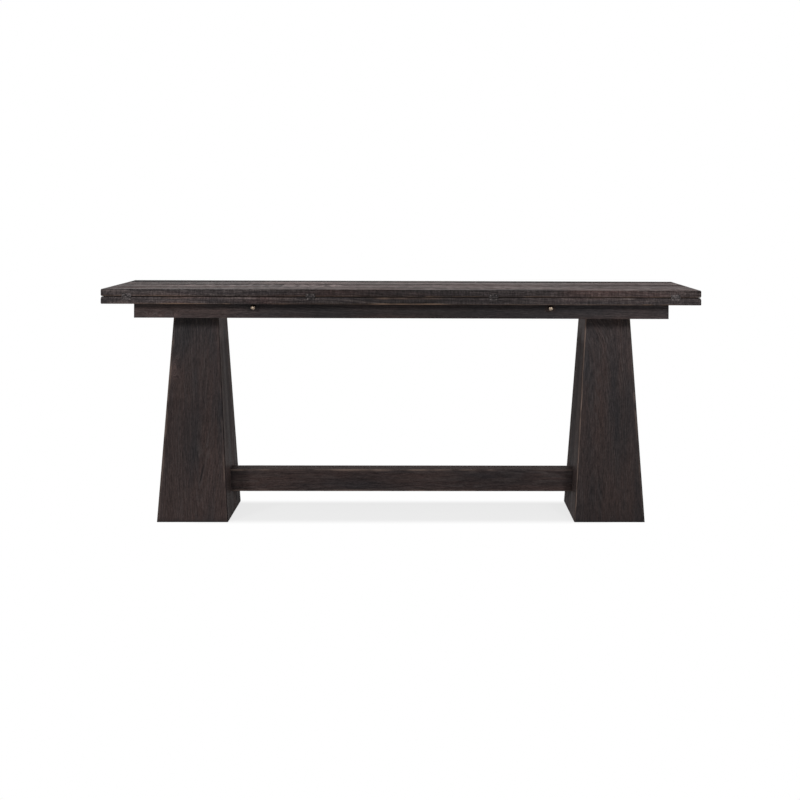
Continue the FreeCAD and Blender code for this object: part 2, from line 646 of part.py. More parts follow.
for hand, side in sides.items():
    for facing, angle in board_turns[hand].items():
        board = pylon_board(side, facing, angle)
        if facing == "inner":
            board = less(board, clear_bolt_holes(hand))
        node(board, f"{hand}_pylon_{facing}_board")
    node(top_block(side), f"{hand}_pylon_top_block")
    node(corner_posts(side), f"{hand}_pylon_corner_posts")
    node(mounting_plate(side), f"{hand}_mounting_plate")
    node(stretcher_cleat(hand), f"{hand}_stretcher_cleat")

# Floor glides: a disc with a nail
glide_disc = rod("Sizes.glide_radius", "Sizes.glide_height", "0", "0", "0")
glide_nail = rod("Sizes.glide_nail_radius", "Sizes.glide_height + Sizes.glide_nail_length", "0", "0", "0")
group("floor_glides", [both(glide_disc, glide_nail, x, y, "0")
                       for side in sides.values() for x, y in glide_places(side)])

# Stretcher between the pylons, its ends cut to their slope
stretcher_blank = padded("StretcherBlank", "XZ_Plane", [
    (f"-{inner_face('Sizes.stretcher_bottom')}", "Sizes.stretcher_bottom"),
    (inner_face("Sizes.stretcher_bottom"), "Sizes.stretcher_bottom"),
    (inner_face(stretcher_top), stretcher_top), (f"-{inner_face(stretcher_top)}", stretcher_top),
], "Sizes.stretcher_depth", both_ways=True)
rounded(stretcher_blank, lambda edge: spans(edge, 0) > reading(pylon_spacing), "Sizes.stretcher_arris")
insert_hole_radius = "(Sizes.insert_radius + Sizes.screw_play)"
beyond_face = inner_board_back(stretcher_top)
stretcher_holes = []
for hand in sides:
    stretcher_holes += stretcher_bolt_holes(hand, insert_hole_radius, beyond_face, insert_end)
    stretcher_holes += stretcher_bolt_holes(hand, bolt_hole_radius, beyond_face, bolt_hole_end)
node(less(stretcher_blank, stretcher_holes), "stretcher")

inserts = []
for hand in sides:
    for height in stretcher_bolt_levels:
        sleeve = bolt_line_rod(hand, "Sizes.insert_radius", insert_start, insert_end, height)
        bore = bolt_line_rod(hand, bolt_thread_radius, insert_start, insert_end, height)
        inserts.append(less(sleeve, [bore]))
group("stretcher_inserts", inserts)


# A hexagon bolt from its seat under the head, with its shank along +Z
def hexagon_head():
    head = doc.addObject("Part::Prism", "HexHead")
    head.Polygon = 6
    bind(head, {"Circumradius": "Sizes.bolt_head_radius", "Height": "Sizes.bolt_head"})
    place(head, "0", "0", "-Sizes.bolt_head")
    return head


def washer(x, y, z, turn):
    ring = less(rod("Sizes.washer_radius", "Sizes.washer_thickness", "0", "0", "0"),
                [rod(bolt_hole_radius, "Sizes.washer_thickness", "0", "0", "0")])
    place(ring, x, y, z, turn)
    return ring


bolt_cap = hexagon_head()
stretcher_shank = rod("Sizes.bolt_radius", f"{bolt_seat} - {bolt_tip}", "0", "0", "0")
group("stretcher_bolts", [
    both(bolt_cap, stretcher_shank, f"{side} * {bolt_seat}", "0", height, toward_middle[hand])
    for hand, side in sides.items() for height in stretcher_bolt_levels
])
pylon_shank = rod("Sizes.bolt_radius", "Sizes.washer_thickness + Sizes.mounting_plate + Sizes.pylon_bolt_bite",
                  "0", "0", "0")
plate_top = f"({apron_bottom} + Sizes.mounting_plate)"
group("pylon_bolts", [
    both(bolt_cap, pylon_shank, x, y, f"{plate_top} + Sizes.washer_thickness", downward)
    for side in sides.values() for x, y in pylon_bolt_places(side)
])
washers = [washer(f"{side} * {bolt_seat}", "0", height, toward_middle[hand])
           for hand, side in sides.items() for height in stretcher_bolt_levels]
washers += [washer(x, y, plate_top, upward) for side in sides.values() for x, y in pylon_bolt_places(side)]
group("bolt_washers", washers)

# Lopers: a bar that slides in the apron, with a stop pin under it and a ball knob on a stud in its face
stop_pin_y = f"(Sizes.stop_pin_radius + Sizes.loper_travel + Sizes.loper_play - {rail_inner_y})"
knob_z = f"({lower_leaf_bottom} - Sizes.knob_drop)"
ball_middle = "(Sizes.knob_neck + Sizes.knob_radius)"
stud_hole_radius = "(Sizes.stud_radius + Sizes.screw_play)"
for hand, side in sides.items():
    loper_x = f"({side} * {loper_spacing})"
    half = "Sizes.loper_width / 2"
    bar = padded("LoperBlank", "XZ_Plane", [
        (f"{loper_x} - {half}", loper_bottom), (f"{loper_x} + {half}", loper_bottom),
        (f"{loper_x} + {half}", loper_top), (f"{loper_x} - {half}", loper_top),
    ], loper_length, f"{apron_half_depth} - {loper_length}")
    face_y = -reading(apron_half_depth)
    rounded(bar, lambda edge: near(edge.BoundBox.YMin, face_y) and near(edge.BoundBox.YMax, face_y),
            "Sizes.loper_arris")
    front_y = f"-{apron_half_depth}"
    stud_hole = rod(stud_hole_radius, "Sizes.stud_in_loper + Sizes.blind_hole_extra", loper_x, front_y, knob_z,
                    rearward)
    pin_hole = rod("Sizes.stop_pin_radius + Sizes.screw_play", "Sizes.stop_pin_set + Sizes.blind_hole_extra",
                   loper_x, stop_pin_y, loper_bottom)
    node(less(bar, [stud_hole, pin_hole]), f"{hand}_loper")
    node(rod("Sizes.stop_pin_radius", "Sizes.stop_pin_set + Sizes.stop_pin_drop", loper_x, stop_pin_y,
             f"{loper_bottom} - Sizes.stop_pin_drop"), f"{hand}_loper_stop_pin")
    ball = doc.addObject("Part::Sphere", "Ball")
    bind(ball, {"Radius": "Sizes.knob_radius"})
    place(ball, loper_x, f"{front_y} - {ball_middle}", knob_z)
    flange = rod("Sizes.knob_flange_radius", "Sizes.knob_flange", loper_x, front_y, knob_z, forward)
    neck = taper("Sizes.knob_flange_radius", "Sizes.knob_neck_radius", f"{ball_middle} - Sizes.knob_flange",
                 loper_x, f"{front_y} - Sizes.knob_flange", knob_z, forward)
    socket = rod(stud_hole_radius, "Sizes.stud_in_knob + Sizes.blind_hole_extra", loper_x, front_y, knob_z,
                 forward)
    node(less(joined([ball, flange, neck]), [socket]), f"{hand}_loper_knob")
    node(rod("Sizes.stud_radius", "Sizes.stud_in_knob + Sizes.stud_in_loper", loper_x,
             f"{front_y} - Sizes.stud_in_knob", knob_z, rearward), f"{hand}_loper_knob_stud")

# Butt hinges about the +X axis: the lower plate carries the outer knuckles, the upper plate the middle one
knuckle = "((Sizes.hinge_length - 2 * Sizes.knuckle_gap) / 3)"
hinge_left = "(-Sizes.hinge_length / 2)"
knuckle_starts = [hinge_left, f"({hinge_left} + {knuckle} + Sizes.knuckle_gap)",
                  f"({hinge_left} + 2 * {knuckle} + 2 * Sizes.knuckle_gap)"]
plate_front = "(Sizes.flip_gap / 2)"
plate_back = f"({plate_front} + Sizes.hinge_plate)"
barrel_clear = "(Sizes.barrel_radius + Sizes.barrel_relief)"


def level_span(way, near_axis, far_axis):
    return (f"-{far_axis}", f"-{near_axis}") if way == "-1" else (near_axis, far_axis)


def hinge_leaf(way, own_knuckles):
    pieces = [block((hinge_left, "Sizes.hinge_length / 2"), (plate_front, plate_back),
                    level_span(way, barrel_clear, "Sizes.hinge_reach"))]
    for start in own_knuckles:
        pieces.append(rod("Sizes.barrel_radius", knuckle, start, "0", "0", rightward))
        pieces.append(block((start, f"{start} + {knuckle}"), (plate_front, plate_back),
                            level_span(way, "0", barrel_clear)))
    holes = [rod("Sizes.hinge_pin_radius + Sizes.hinge_pin_play", "Sizes.hinge_length", hinge_left, "0", "0",
                 rightward)]
    for x in hinge_screw_places:
        z = f"{way} * Sizes.hinge_screw_offset"
        holes.append(taper("Sizes.hinge_screw_head_radius + Sizes.screw_play",
                           "Sizes.hinge_screw_radius + Sizes.screw_play", "Sizes.hinge_screw_head",
                           x, plate_front, z, rearward))
        holes.append(rod("Sizes.hinge_screw_radius + Sizes.screw_play", "Sizes.hinge_plate", x, plate_front, z,
                         rearward))
    return joined(pieces), joined(holes)


hinge_leaves = {
    "lower": hinge_leaf("-1", [knuckle_starts[0], knuckle_starts[2]]),
    "upper": hinge_leaf("1", [knuckle_starts[1]]),
}
for number, x in enumerate(hinge_places, start=1):
    for level, (solid, holes) in hinge_leaves.items():
        plate = less(solid, [holes])
        place(plate, x, hinge_axis_y, hinge_axis_z)
        node(plate, f"hinge_{number}_{level}_plate")
group("hinge_pins", [rod("Sizes.hinge_pin_radius", "Sizes.hinge_length", f"{x} + {hinge_left}", hinge_axis_y,
                         hinge_axis_z, rightward) for x in hinge_places])

hinge_screw_cap = taper("Sizes.hinge_screw_head_radius", "Sizes.hinge_screw_radius", "Sizes.hinge_screw_head",
                        "0", "0", "0")
hinge_screw_shank = rod("Sizes.hinge_screw_radius", "Sizes.hinge_screw_length", "0", "0", "0")
for level, way in (("lower", "-1"), ("upper", "1")):
    screw_z = f"{hinge_axis_z} + {way} * Sizes.hinge_screw_offset"
    group(f"hinge_{level}_screws", [
        both(hinge_screw_cap, hinge_screw_shank, f"{x} + {step}", leaf_front, screw_z, rearward)
        for x in hinge_places for step in hinge_screw_places
    ])

# Check every feature and every sub-part, then write one file for each
doc.recompute()
failed = [piece.Name for piece in doc.Objects if {"Invalid", "Error"} & set(piece.State)]
for piece in nodes:
    if piece.Shape.isNull() or not piece.Shape.isValid() or not piece.Shape.Solids:
        failed.append(piece.Label)
if failed:
    raise RuntimeError(f"These pieces did not build: {failed}")
os.makedirs("parts", exist_ok=True)
for piece in nodes:
    piece.Shape.exportStep(f"parts/{piece.Label}.step")
print(f"{len(nodes)} sub-parts written")
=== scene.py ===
import bpy
import json
import math
import numpy as np
from mathutils import Matrix, Vector


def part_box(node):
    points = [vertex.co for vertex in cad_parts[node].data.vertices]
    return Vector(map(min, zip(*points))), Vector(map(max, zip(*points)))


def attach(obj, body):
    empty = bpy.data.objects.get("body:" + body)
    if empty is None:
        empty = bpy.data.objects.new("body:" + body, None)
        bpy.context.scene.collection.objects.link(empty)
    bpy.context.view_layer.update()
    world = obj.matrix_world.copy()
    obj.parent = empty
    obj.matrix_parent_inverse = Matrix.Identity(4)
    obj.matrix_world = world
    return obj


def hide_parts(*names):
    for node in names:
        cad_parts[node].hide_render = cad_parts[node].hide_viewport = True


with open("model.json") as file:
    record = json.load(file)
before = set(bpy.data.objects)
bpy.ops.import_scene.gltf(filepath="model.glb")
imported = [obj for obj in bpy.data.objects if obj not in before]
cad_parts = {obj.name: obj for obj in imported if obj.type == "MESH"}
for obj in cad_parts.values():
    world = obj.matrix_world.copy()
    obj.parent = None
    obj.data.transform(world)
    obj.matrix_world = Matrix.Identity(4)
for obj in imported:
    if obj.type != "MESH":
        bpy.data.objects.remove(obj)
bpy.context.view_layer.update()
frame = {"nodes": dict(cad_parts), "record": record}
nodes = frame["nodes"]
slotOf = {part["node"]: part["material_slot"] for part in frame["record"]["subparts"]}
bodies = frame["record"]["behaviour"]["bodies"]
bodyOf = {node: body for body, members in bodies.items() for node in members}
mm = 0.001
sharpStep = 0.02 * mm     # between the two rows of points at a sharp step
knotTone = 25 * mm        # a knot's swell that lifts the tone by one
besideEdge = np.array([0.0, 0.7, 1.8, 3.6]) * mm   # rows of points beside an edge
evenFrom = 7 * mm         # from here on the rows are even


# value noise from -1 to 1: random heights on a unit lattice, eased between its points by 3t^2 - 2t^3
def latticeNoise(u, v, seed):
    size = 61  # the lattice repeats after this many points
    heights = np.random.default_rng(seed).uniform(-1.0, 1.0, (size, size))
    u, v = np.broadcast_arrays(np.asarray(u, float), np.asarray(v, float))
    i, j = np.floor(u).astype(int), np.floor(v).astype(int)
    s, t = u - i, v - j
    s, t = s * s * (3 - 2 * s), t * t * (3 - 2 * t)
    near = heights[i % size, j % size] * (1 - s) + heights[(i + 1) % size, j % size] * s
    far = heights[i % size, (j + 1) % size] * (1 - s) + heights[(i + 1) % size, (j + 1) % size] * s
    return near * (1 - t) + far * t


# how far a face stands back at a distance from a rounded edge: r - sqrt(r^2 - (r - d)^2)
def roundOff(distance, radius):
    short = np.clip(radius - distance, 0.0, radius)
    return radius - np.sqrt(radius ** 2 - short ** 2)


# shares of the way across a face, close together beside both edges and even between them
def faceShares(width, count):
    beside = besideEdge / width
    between = np.linspace(evenFrom / width, 1 - evenFrom / width, count)
    return np.concatenate([beside, between, 1 - beside[::-1]])


# worn wood beside an edge fades over a short way in from it: e^(-d / reach)
def fadeFrom(distance, reach=1.5 * mm):
    return np.exp(-np.clip(distance, 0.0, None) / reach)


# 1 along a stretch from start to end, easing to 0 over the soft length outside it
def stretchOf(x, start, end, soft):
    share = np.clip(1 + np.minimum(x - start, end - x) / soft, 0, 1)
    return share * share * (3 - 2 * share)


# wear comes in patches along an edge: a mean, and broad and fine noise, each a pitch and a height
def wearPatches(place, rows, seed, mean, broad, fine):
    patches = mean + broad[1] * latticeNoise(place / broad[0], rows[0], seed)
    return patches + fine[1] * latticeNoise(place / fine[0], rows[1], seed + 1)


# small dents along an edge: a sum of bells depth e^(-((x - place) / half)^2), with random places, halves
# and depths
def dents(x, count, deepest, seed):
    draw = np.random.default_rng(seed)
    places = draw.uniform(x.min(), x.max(), count)
    halves = draw.uniform(2.5, 9.0, count) * mm
    depths = draw.uniform(0.3, 1.0, count) * deepest
    return (depths * np.exp(-((x[:, None] - places) / halves) ** 2)).sum(1)


# grain coordinates: along, across and depth, about a pith that lies under the board and drifts along it
def grainField(along, across, depth, seed, pith=None):
    draw = np.random.default_rng(seed)
    drawnAside = draw.uniform(-0.06, 0.06)
    drawnBelow = draw.uniform(0.025, 0.075)
    drawnDrift = draw.uniform(0.02, 0.06) * draw.choice([-1, 1])
    aside, below, drift = pith or (drawnAside, drawnBelow, drawnDrift)
    along, across, depth = np.broadcast_arrays(along, across, depth)
    start = 3.7 * seed  # each board is cut from another part of the log
    return np.stack([along + start, across - aside, depth + below + drift * along], axis=-1)


# a value along a board: straight lines between (place, value) pairs
def along(place, pairs):
    return np.interp(place, *zip(*pairs))


plainTone = ((0.0, 0.0), (1.0, 0.0))  # the same all along


# knots push the rings aside: a sum of bells lift e^(-(u / long)^2 - (v / wide)^2) about places along and
# across a board
def knotSwell(place, across, knots):
    swell = np.zeros_like(place)
    for u, v, long, wide, lift in knots:
        swell = swell + lift * np.exp(-((place - u) / long) ** 2 - ((across - v) / wide) ** 2)
    return swell


# a skin over stacked rings: quads from each ring to the next, and one face over each end ring
def skinBoard(node, rings, grain, **marks):
    stack = rings[-1].mean(0) - rings[0].mean(0)
    middle = rings[len(rings) // 2]
    turn = np.cross(middle, np.roll(middle, -1, axis=0)).sum(0)
    if turn @ stack < 0:  # rings have to run right-handed about the way they are stacked
        rings, grain = rings[:, ::-1], grain[:, ::-1]
        marks = {mark: amount[:, ::-1] for mark, amount in marks.items()}
    count, around = rings.shape[:2]
    index = np.arange(count * around).reshape(count, around)
    beside = np.roll(index, -1, axis=1)
    quads = np.stack([index[:-1], beside[:-1], beside[1:], index[1:]], axis=-1).reshape(-1, 4)
    mesh = bpy.data.meshes.new("worn_" + node)
    mesh.from_pydata(rings.reshape(-1, 3).tolist(), [],
                     quads.tolist() + [index[0, ::-1].tolist(), index[-1].tolist()])
    for mark, amount in marks.items():
        mesh.attributes.new(mark, "FLOAT", "POINT").data.foreach_set("value", amount.ravel())
    mesh.attributes.new("grain", "FLOAT_VECTOR", "POINT").data.foreach_set("vector", grain.ravel())
    mesh.shade_smooth()
    mesh.set_sharp_from_angle(angle=math.radians(34))
    piece = bpy.data.objects.new("worn_" + node, mesh)
    bpy.context.collection.objects.link(piece)
    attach(piece, bodyOf[node])
    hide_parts(node)
    return piece


# leaf planks; radii are over and under, first at the ends and then at front and rear
leafBuild = {
    "endRadii": {"upper": (5.0 * mm, 5.0 * mm), "lower": (5.0 * mm, 2.5 * mm)},
    "edgeRadii": {"upper": (3.2 * mm, 3.0 * mm), "lower": (5.5 * mm, 2.5 * mm)},
    "uneven": 0.22,              # how much the radii vary
    "cornerRadius": 6.5 * mm,    # plan corners
    "seamEase": 4.0 * mm,        # along the seam between the planks
    "seamDirt": 7.0 * mm,        # how far dirt spreads from the seam
    "gainPlay": 0.15 * mm,       # round a hinge plate
    "gainDirt": 0.8,
    "capInset": 2.4 * mm,        # the end face's own ring, clear of the worn rim
    "endRows": np.array([0.0, 0.3, 0.9, 1.8, 3.0, 4.4, 6.5, 8.0]) * mm,   # stations beside an end
    "evenFrom": 11 * mm,         # from here on the stations are even
    "stations": 210,
    "acrossTop": 46,
    "acrossUnder": 14,
    "relief": 0.22 * mm,         # brushed hollows in the faces
    "hollowPitch": (0.4, 9 * mm),
    "dentDepth": 1.3 * mm,
    "dentCount": 34,
    "patches": (0.7, (160 * mm, 0.3), (30 * mm, 0.3)),   # of wear
    "staves": 4,                 # boards glued up into a plank, each with its own tone
    "staveTone": 1.0,
    "driftTone": 0.4,            # slow change of tone along a stave
    "planingTone": 0.35,         # marks of planing across the grain
    "planingPitch": (0.011, 45 * mm),
    "spotTone": 2.0,             # brushed light spots on the top beside the seam
    "spotPitch": (0.012, 40 * mm),
    "spotReach": 110 * mm,
    "endSoak": 7.0 * mm,         # how far the ends soak up more stain
    "soakTone": 0.2,
    "highlightStrip": 60.0 * mm,          # a painted highlight along the front of the top, partly rubbed wood
    "topWarmth": ((-0.99, 0.02), (0.3, 0.0), (0.99, 0.17)),   # added russet along X
    "edgeWarmth": {"upper": 0.0, "lower": -0.1},
}


# a plank's section, from the seam along the underside, up the outer edge and back along the top, carried
# along X; edges are quarter circles, ends draw the section in by roundOff, and gains step back behind the
# hinge plates
def leafPlank(node, seed, topWear, underWear, rubbed=None, flecks=None, arrisShading=0.0, edgeTone=plainTone,
              topShading=plainTone, stripHighlight=plainTone):
    build = leafBuild
    low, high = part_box(node)
    level = "upper" if node.startswith("upper") else "lower"
    upper = level == "upper"
    outerY, inward = (low.y, 1.0) if "front" in node else (high.y, -1.0)
    width = high.y - low.y
    gains = []
    if "front" in node:
        plates = [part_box(f"hinge_{k}_{level}_plate") for k in (1, 2, 3, 4)]
        play = build["gainPlay"]
        gains = [(plateLow.x - play, plateHigh.x + play) for plateLow, plateHigh in plates]
        gainDepth = plates[0][1].y - low.y
        gainEnd = plates[0][1].z + play if upper else plates[0][0].z - play
    ends = build["endRows"]
    even = np.linspace(low.x + build["evenFrom"], high.x - build["evenFrom"], build["stations"])
    gainEdges = np.array([edge for start, end in gains
                          for edge in (start - sharpStep, start, end, end + sharpStep)])
    x = np.unique(np.concatenate([low.x + ends, even, gainEdges, high.x - ends]))
    x = np.concatenate([[low.x], x, [high.x]])
    capInset = np.zeros_like(x)
    capInset[[0, -1]] = build["capInset"]
    fromEnd = np.minimum(x - low.x, high.x - x)
    inGain = np.zeros(x.shape, bool)
    for start, end in gains:
        inGain |= (x > start - sharpStep / 2) & (x < end + sharpStep / 2)

    endRadii, edgeRadii = build["endRadii"][level], build["edgeRadii"][level]
    topEase = 1 + build["uneven"] * latticeNoise(x / 0.11, 0.0, seed)
    underEase = 1 + build["uneven"] * latticeNoise(x / 0.13, 0.5, seed + 1)
    top = high.z - roundOff(fromEnd, endRadii[0] * topEase) - capInset
    bottom = low.z + roundOff(fromEnd, endRadii[1] * underEase) + capInset
    topRadius = np.minimum(edgeRadii[0] * topEase, 0.45 * (top - bottom))[:, None]
    underRadius = np.minimum(edgeRadii[1] * underEase, 0.45 * (top - bottom))[:, None]
    outer = (roundOff(fromEnd, build["cornerRadius"]) + capInset)[:, None]
    seam = (width - capInset)[:, None]
    ease = build["seamEase"] * (1 + 0.25 * latticeNoise(x / 0.2, 3.5, seed + 2))[:, None]
    top, bottom = top[:, None], bottom[:, None]
    ones = np.ones_like(top)

    underShares = faceShares(width, build["acrossUnder"])[::-1]
    topShares = faceShares(width, build["acrossTop"])
    quarter = np.radians(np.array([15, 32, 50, 68, 82]))
    edgeRows = np.array([0.0, 0.12, 0.3, 0.5, 0.7, 0.88, 1.0])
    edgeZ = bottom + underRadius + edgeRows * (top - topRadius - bottom - underRadius)
    if gains:  # two rows of points, one on each side of the gain's end
        gainRows = [(gainEnd - sharpStep) * ones, gainEnd * ones]
        edgeZ = np.sort(np.concatenate([edgeZ, *gainRows], axis=1), axis=1)

    # blocks of (distance in from the outer edge, height, wear), in order round the section: underside, its
    # arris, edge, upper arris, top, and the seam's two rows
    underP = outer + underRadius + underShares * (seam - ease - outer - underRadius)
    topP = outer + topRadius + topShares * (seam - ease - outer - topRadius)
    edgeWear = np.maximum(underWear * fadeFrom(edgeZ - bottom - underRadius),
                          topWear * fadeFrom(top - topRadius - edgeZ))
    blocks = [
        (underP, bottom * np.ones_like(underP), underWear * fadeFrom(underP - outer - underRadius)),
        (outer + underRadius * (1 - np.sin(quarter)), bottom + underRadius * (1 - np.cos(quarter)),
         underWear * np.ones((len(x), len(quarter)))),
        (outer * np.ones_like(edgeZ), edgeZ, edgeWear),
        (outer + topRadius * (1 - np.cos(quarter)), top - topRadius * (1 - np.sin(quarter)),
         topWear * np.ones((len(x), len(quarter)))),
        (topP, top * np.ones_like(topP), topWear * fadeFrom(topP - outer - topRadius)),
        (seam, top - ease, 0 * ones),
        (seam, bottom + ease, 0 * ones),
    ]
    p = np.concatenate([block[0] for block in blocks], axis=1)
    z = np.concatenate([block[1] for block in blocks], axis=1)
    wear = np.concatenate([block[2] for block in blocks], axis=1)

    # brushed hollows in both faces, and dents that bite into the outer edges
    counts = [block[0].shape[1] for block in blocks]
    facing = np.repeat((-1, 0, 0, 0, 1, 0, 0), counts)
    bite = np.repeat((0, 1, 0, -1, 0, 0, 0), counts)
    hollowAlong, hollowAcross = build["hollowPitch"]
    hollow = 0.5 + 0.5 * latticeNoise(x[:, None] / hollowAlong, p / hollowAcross, seed + 3)
    z = z - facing * build["relief"] * hollow * np.clip((p - outer - 8 * mm) / (12 * mm), 0, 1)
    depth = (dents(x, build["dentCount"], build["dentDepth"], seed + 4) * ~inGain)[:, None]
    p = p + np.abs(bite) * depth
    z = z + bite * depth
    if gains:
        behind = (z < gainEnd - sharpStep / 2) if upper else (z > gainEnd - sharpStep / 2)
        sunk = inGain[:, None] & behind
        p = np.where(sunk, np.maximum(p, gainDepth), p)
        wear = np.where(sunk, 0.0, wear)

    endWear = topWear * fadeFrom(fromEnd - endRadii[0]) * (capInset == 0)
    patches = wearPatches(x, (7.5, 9.5), seed + 5, *build["patches"])
    if rubbed:  # hands rub some stretches of the edge more than the rest
        patches = patches * along(x, rubbed)
    wear = np.maximum(wear, endWear[:, None]) * np.clip(patches, 0.05, 1)[:, None]
    fromSeam = seam - p
    onTop = facing > 0
    spots = np.zeros_like(p)
    if flecks:
        spotAlong, spotAcross = build["spotPitch"]
        spots = latticeNoise(x[:, None] / spotAlong, p / spotAcross, seed + 7)
        spots = spots * stretchOf(x, *flecks, 0.06)[:, None]
        spots = np.clip(spots, 0, 1) * onTop * (fromSeam < build["spotReach"])
    dirt = np.clip(1.2 - fromSeam / build["seamDirt"], 0, 1)
    if gains:
        dirt = np.where(sunk & (p < gainDepth + sharpStep), build["gainDirt"], dirt)
    y = outerY + inward * p
    rings = np.stack([x[:, None] * np.ones_like(p), y, z], axis=-1)
    middle = (low + high) / 2
    grain = grainField(rings[..., 0] - middle.x, rings[..., 1] - middle.y, rings[..., 2] - low.z, seed)
    draw = np.random.default_rng(seed + 8)
    staveEdges = np.cumsum(draw.uniform(0.6, 1.4, build["staves"]))
    stave = np.searchsorted(staveEdges[:-1] / staveEdges[-1], p / width)
    staveTones = draw.uniform(-1.0, 1.0, build["staves"]) * build["staveTone"]
    # the first stave shows on the edge and has the edge's tone
    staveTone = np.where(stave == 0, along(x, edgeTone)[:, None], staveTones[stave])
    drift = latticeNoise(x[:, None] / 0.5, 5.0 * stave, seed + 9)
    tone = staveTone + build["driftTone"] * drift + build["spotTone"] * spots
    planeAlong, planeAcross = build["planingPitch"]
    planing = latticeNoise(x[:, None] / planeAlong, p / planeAcross, seed + 10)
    tone = tone + build["planingTone"] * planing * onTop
    # painted highlight strip along the front of the top, partly rubbed wood
    highlightStrip = np.clip(1.5 - p / build["highlightStrip"], 0, 1)
    # painted shade: topShading darkens the top towards both ends, against the lamps' sheen there
    tone = tone + onTop * (along(x, topShading)[:, None] + highlightStrip * along(x, stripHighlight)[:, None])
    # painted arris shading on the arris's lower half: the lower leaf's front arris gets a painted
    # highlight, the upper leaf's is darkened
    onArris = np.zeros(p.shape[1])
    firstArris = sum(counts[:3])
    onArris[firstArris:firstArris + len(quarter)] = 1.0, 1.0, 0.5, 0.0, 0.0  # the arris's lower half
    soak = fadeFrom(fromEnd - endRadii[0], build["endSoak"])[:, None]
    tone = tone + arrisShading * onArris - build["soakTone"] * soak
    onEdge = facing == 0
    edgeWarmth = build["edgeWarmth"][level] * onEdge
    warmth = np.where(onTop, along(x, build["topWarmth"])[:, None], edgeWarmth)
    return skinBoard(node, rings, grain, wear=np.clip(wear, 0, 1), dirt=dirt, tone=tone,
                     sawn=onEdge * np.ones_like(p), warmth=warmth)


# pairs of a place along X and a value there: how rubbed the lower leaf's front edge is, and tones; frontTop
# and rearTop paint shade on the ends of the top, frontHighlight a painted highlight along its front
leafTones = {
    "frontRub": ((-0.99, 0.5), (-0.86, 0.85), (-0.58, 0.9), (-0.54, 0.15), (-0.47, 0.2), (-0.43, 0.65),
                 (-0.12, 0.55), (-0.06, 1.0), (0.12, 1.0), (0.17, 0.5), (0.5, 0.5), (0.6, 0.7), (0.8, 0.75),
                 (0.99, 0.45)),
    "frontTop": ((-0.99, -0.45), (-0.35, -0.35), (0.1, 0.2), (0.45, 0.1), (0.7, -0.45), (0.99, -0.5)),
    "frontHighlight": ((-0.99, 0.2), (-0.5, 0.2), (-0.3, 0.6), (0.5, 0.7), (0.99, 0.9)),
    "rearTop": ((-0.99, -0.65), (-0.4, -0.35), (0.3, -0.35), (0.99, -0.95)),
    "upperEdge": ((-0.99, 0.5), (-0.6, 0.25), (-0.3, -0.3), (0.45, -0.35), (0.65, 0.3), (0.99, 0.3)),
    "lowerEdge": ((-0.99, 1.1), (-0.75, 1.1), (-0.6, 0.75), (-0.35, -0.1), (0.4, -0.2), (0.6, 0.4),
                  (0.99, 0.6)),
}
oakPieces = {
    "leaf": [
        leafPlank("upper_leaf_front_plank", 11, topWear=0.15, underWear=0.5, flecks=(-0.72, -0.2),
                  arrisShading=-0.9, edgeTone=leafTones["upperEdge"], topShading=leafTones["frontTop"],
                  stripHighlight=leafTones["frontHighlight"]),
        leafPlank("upper_leaf_rear_plank", 17, topWear=0.25, underWear=0.4, topShading=leafTones["rearTop"]),
        # the lower front plank's arrisShading is a painted highlight along its front arris
        leafPlank("lower_leaf_front_plank", 23, topWear=0.45, underWear=1.0, rubbed=leafTones["frontRub"],
                  arrisShading=0.4, edgeTone=leafTones["lowerEdge"]),
        leafPlank("lower_leaf_rear_plank", 29, topWear=0.4, underWear=0.7),
    ],
}
print("leaf planks:", len(oakPieces["leaf"]))

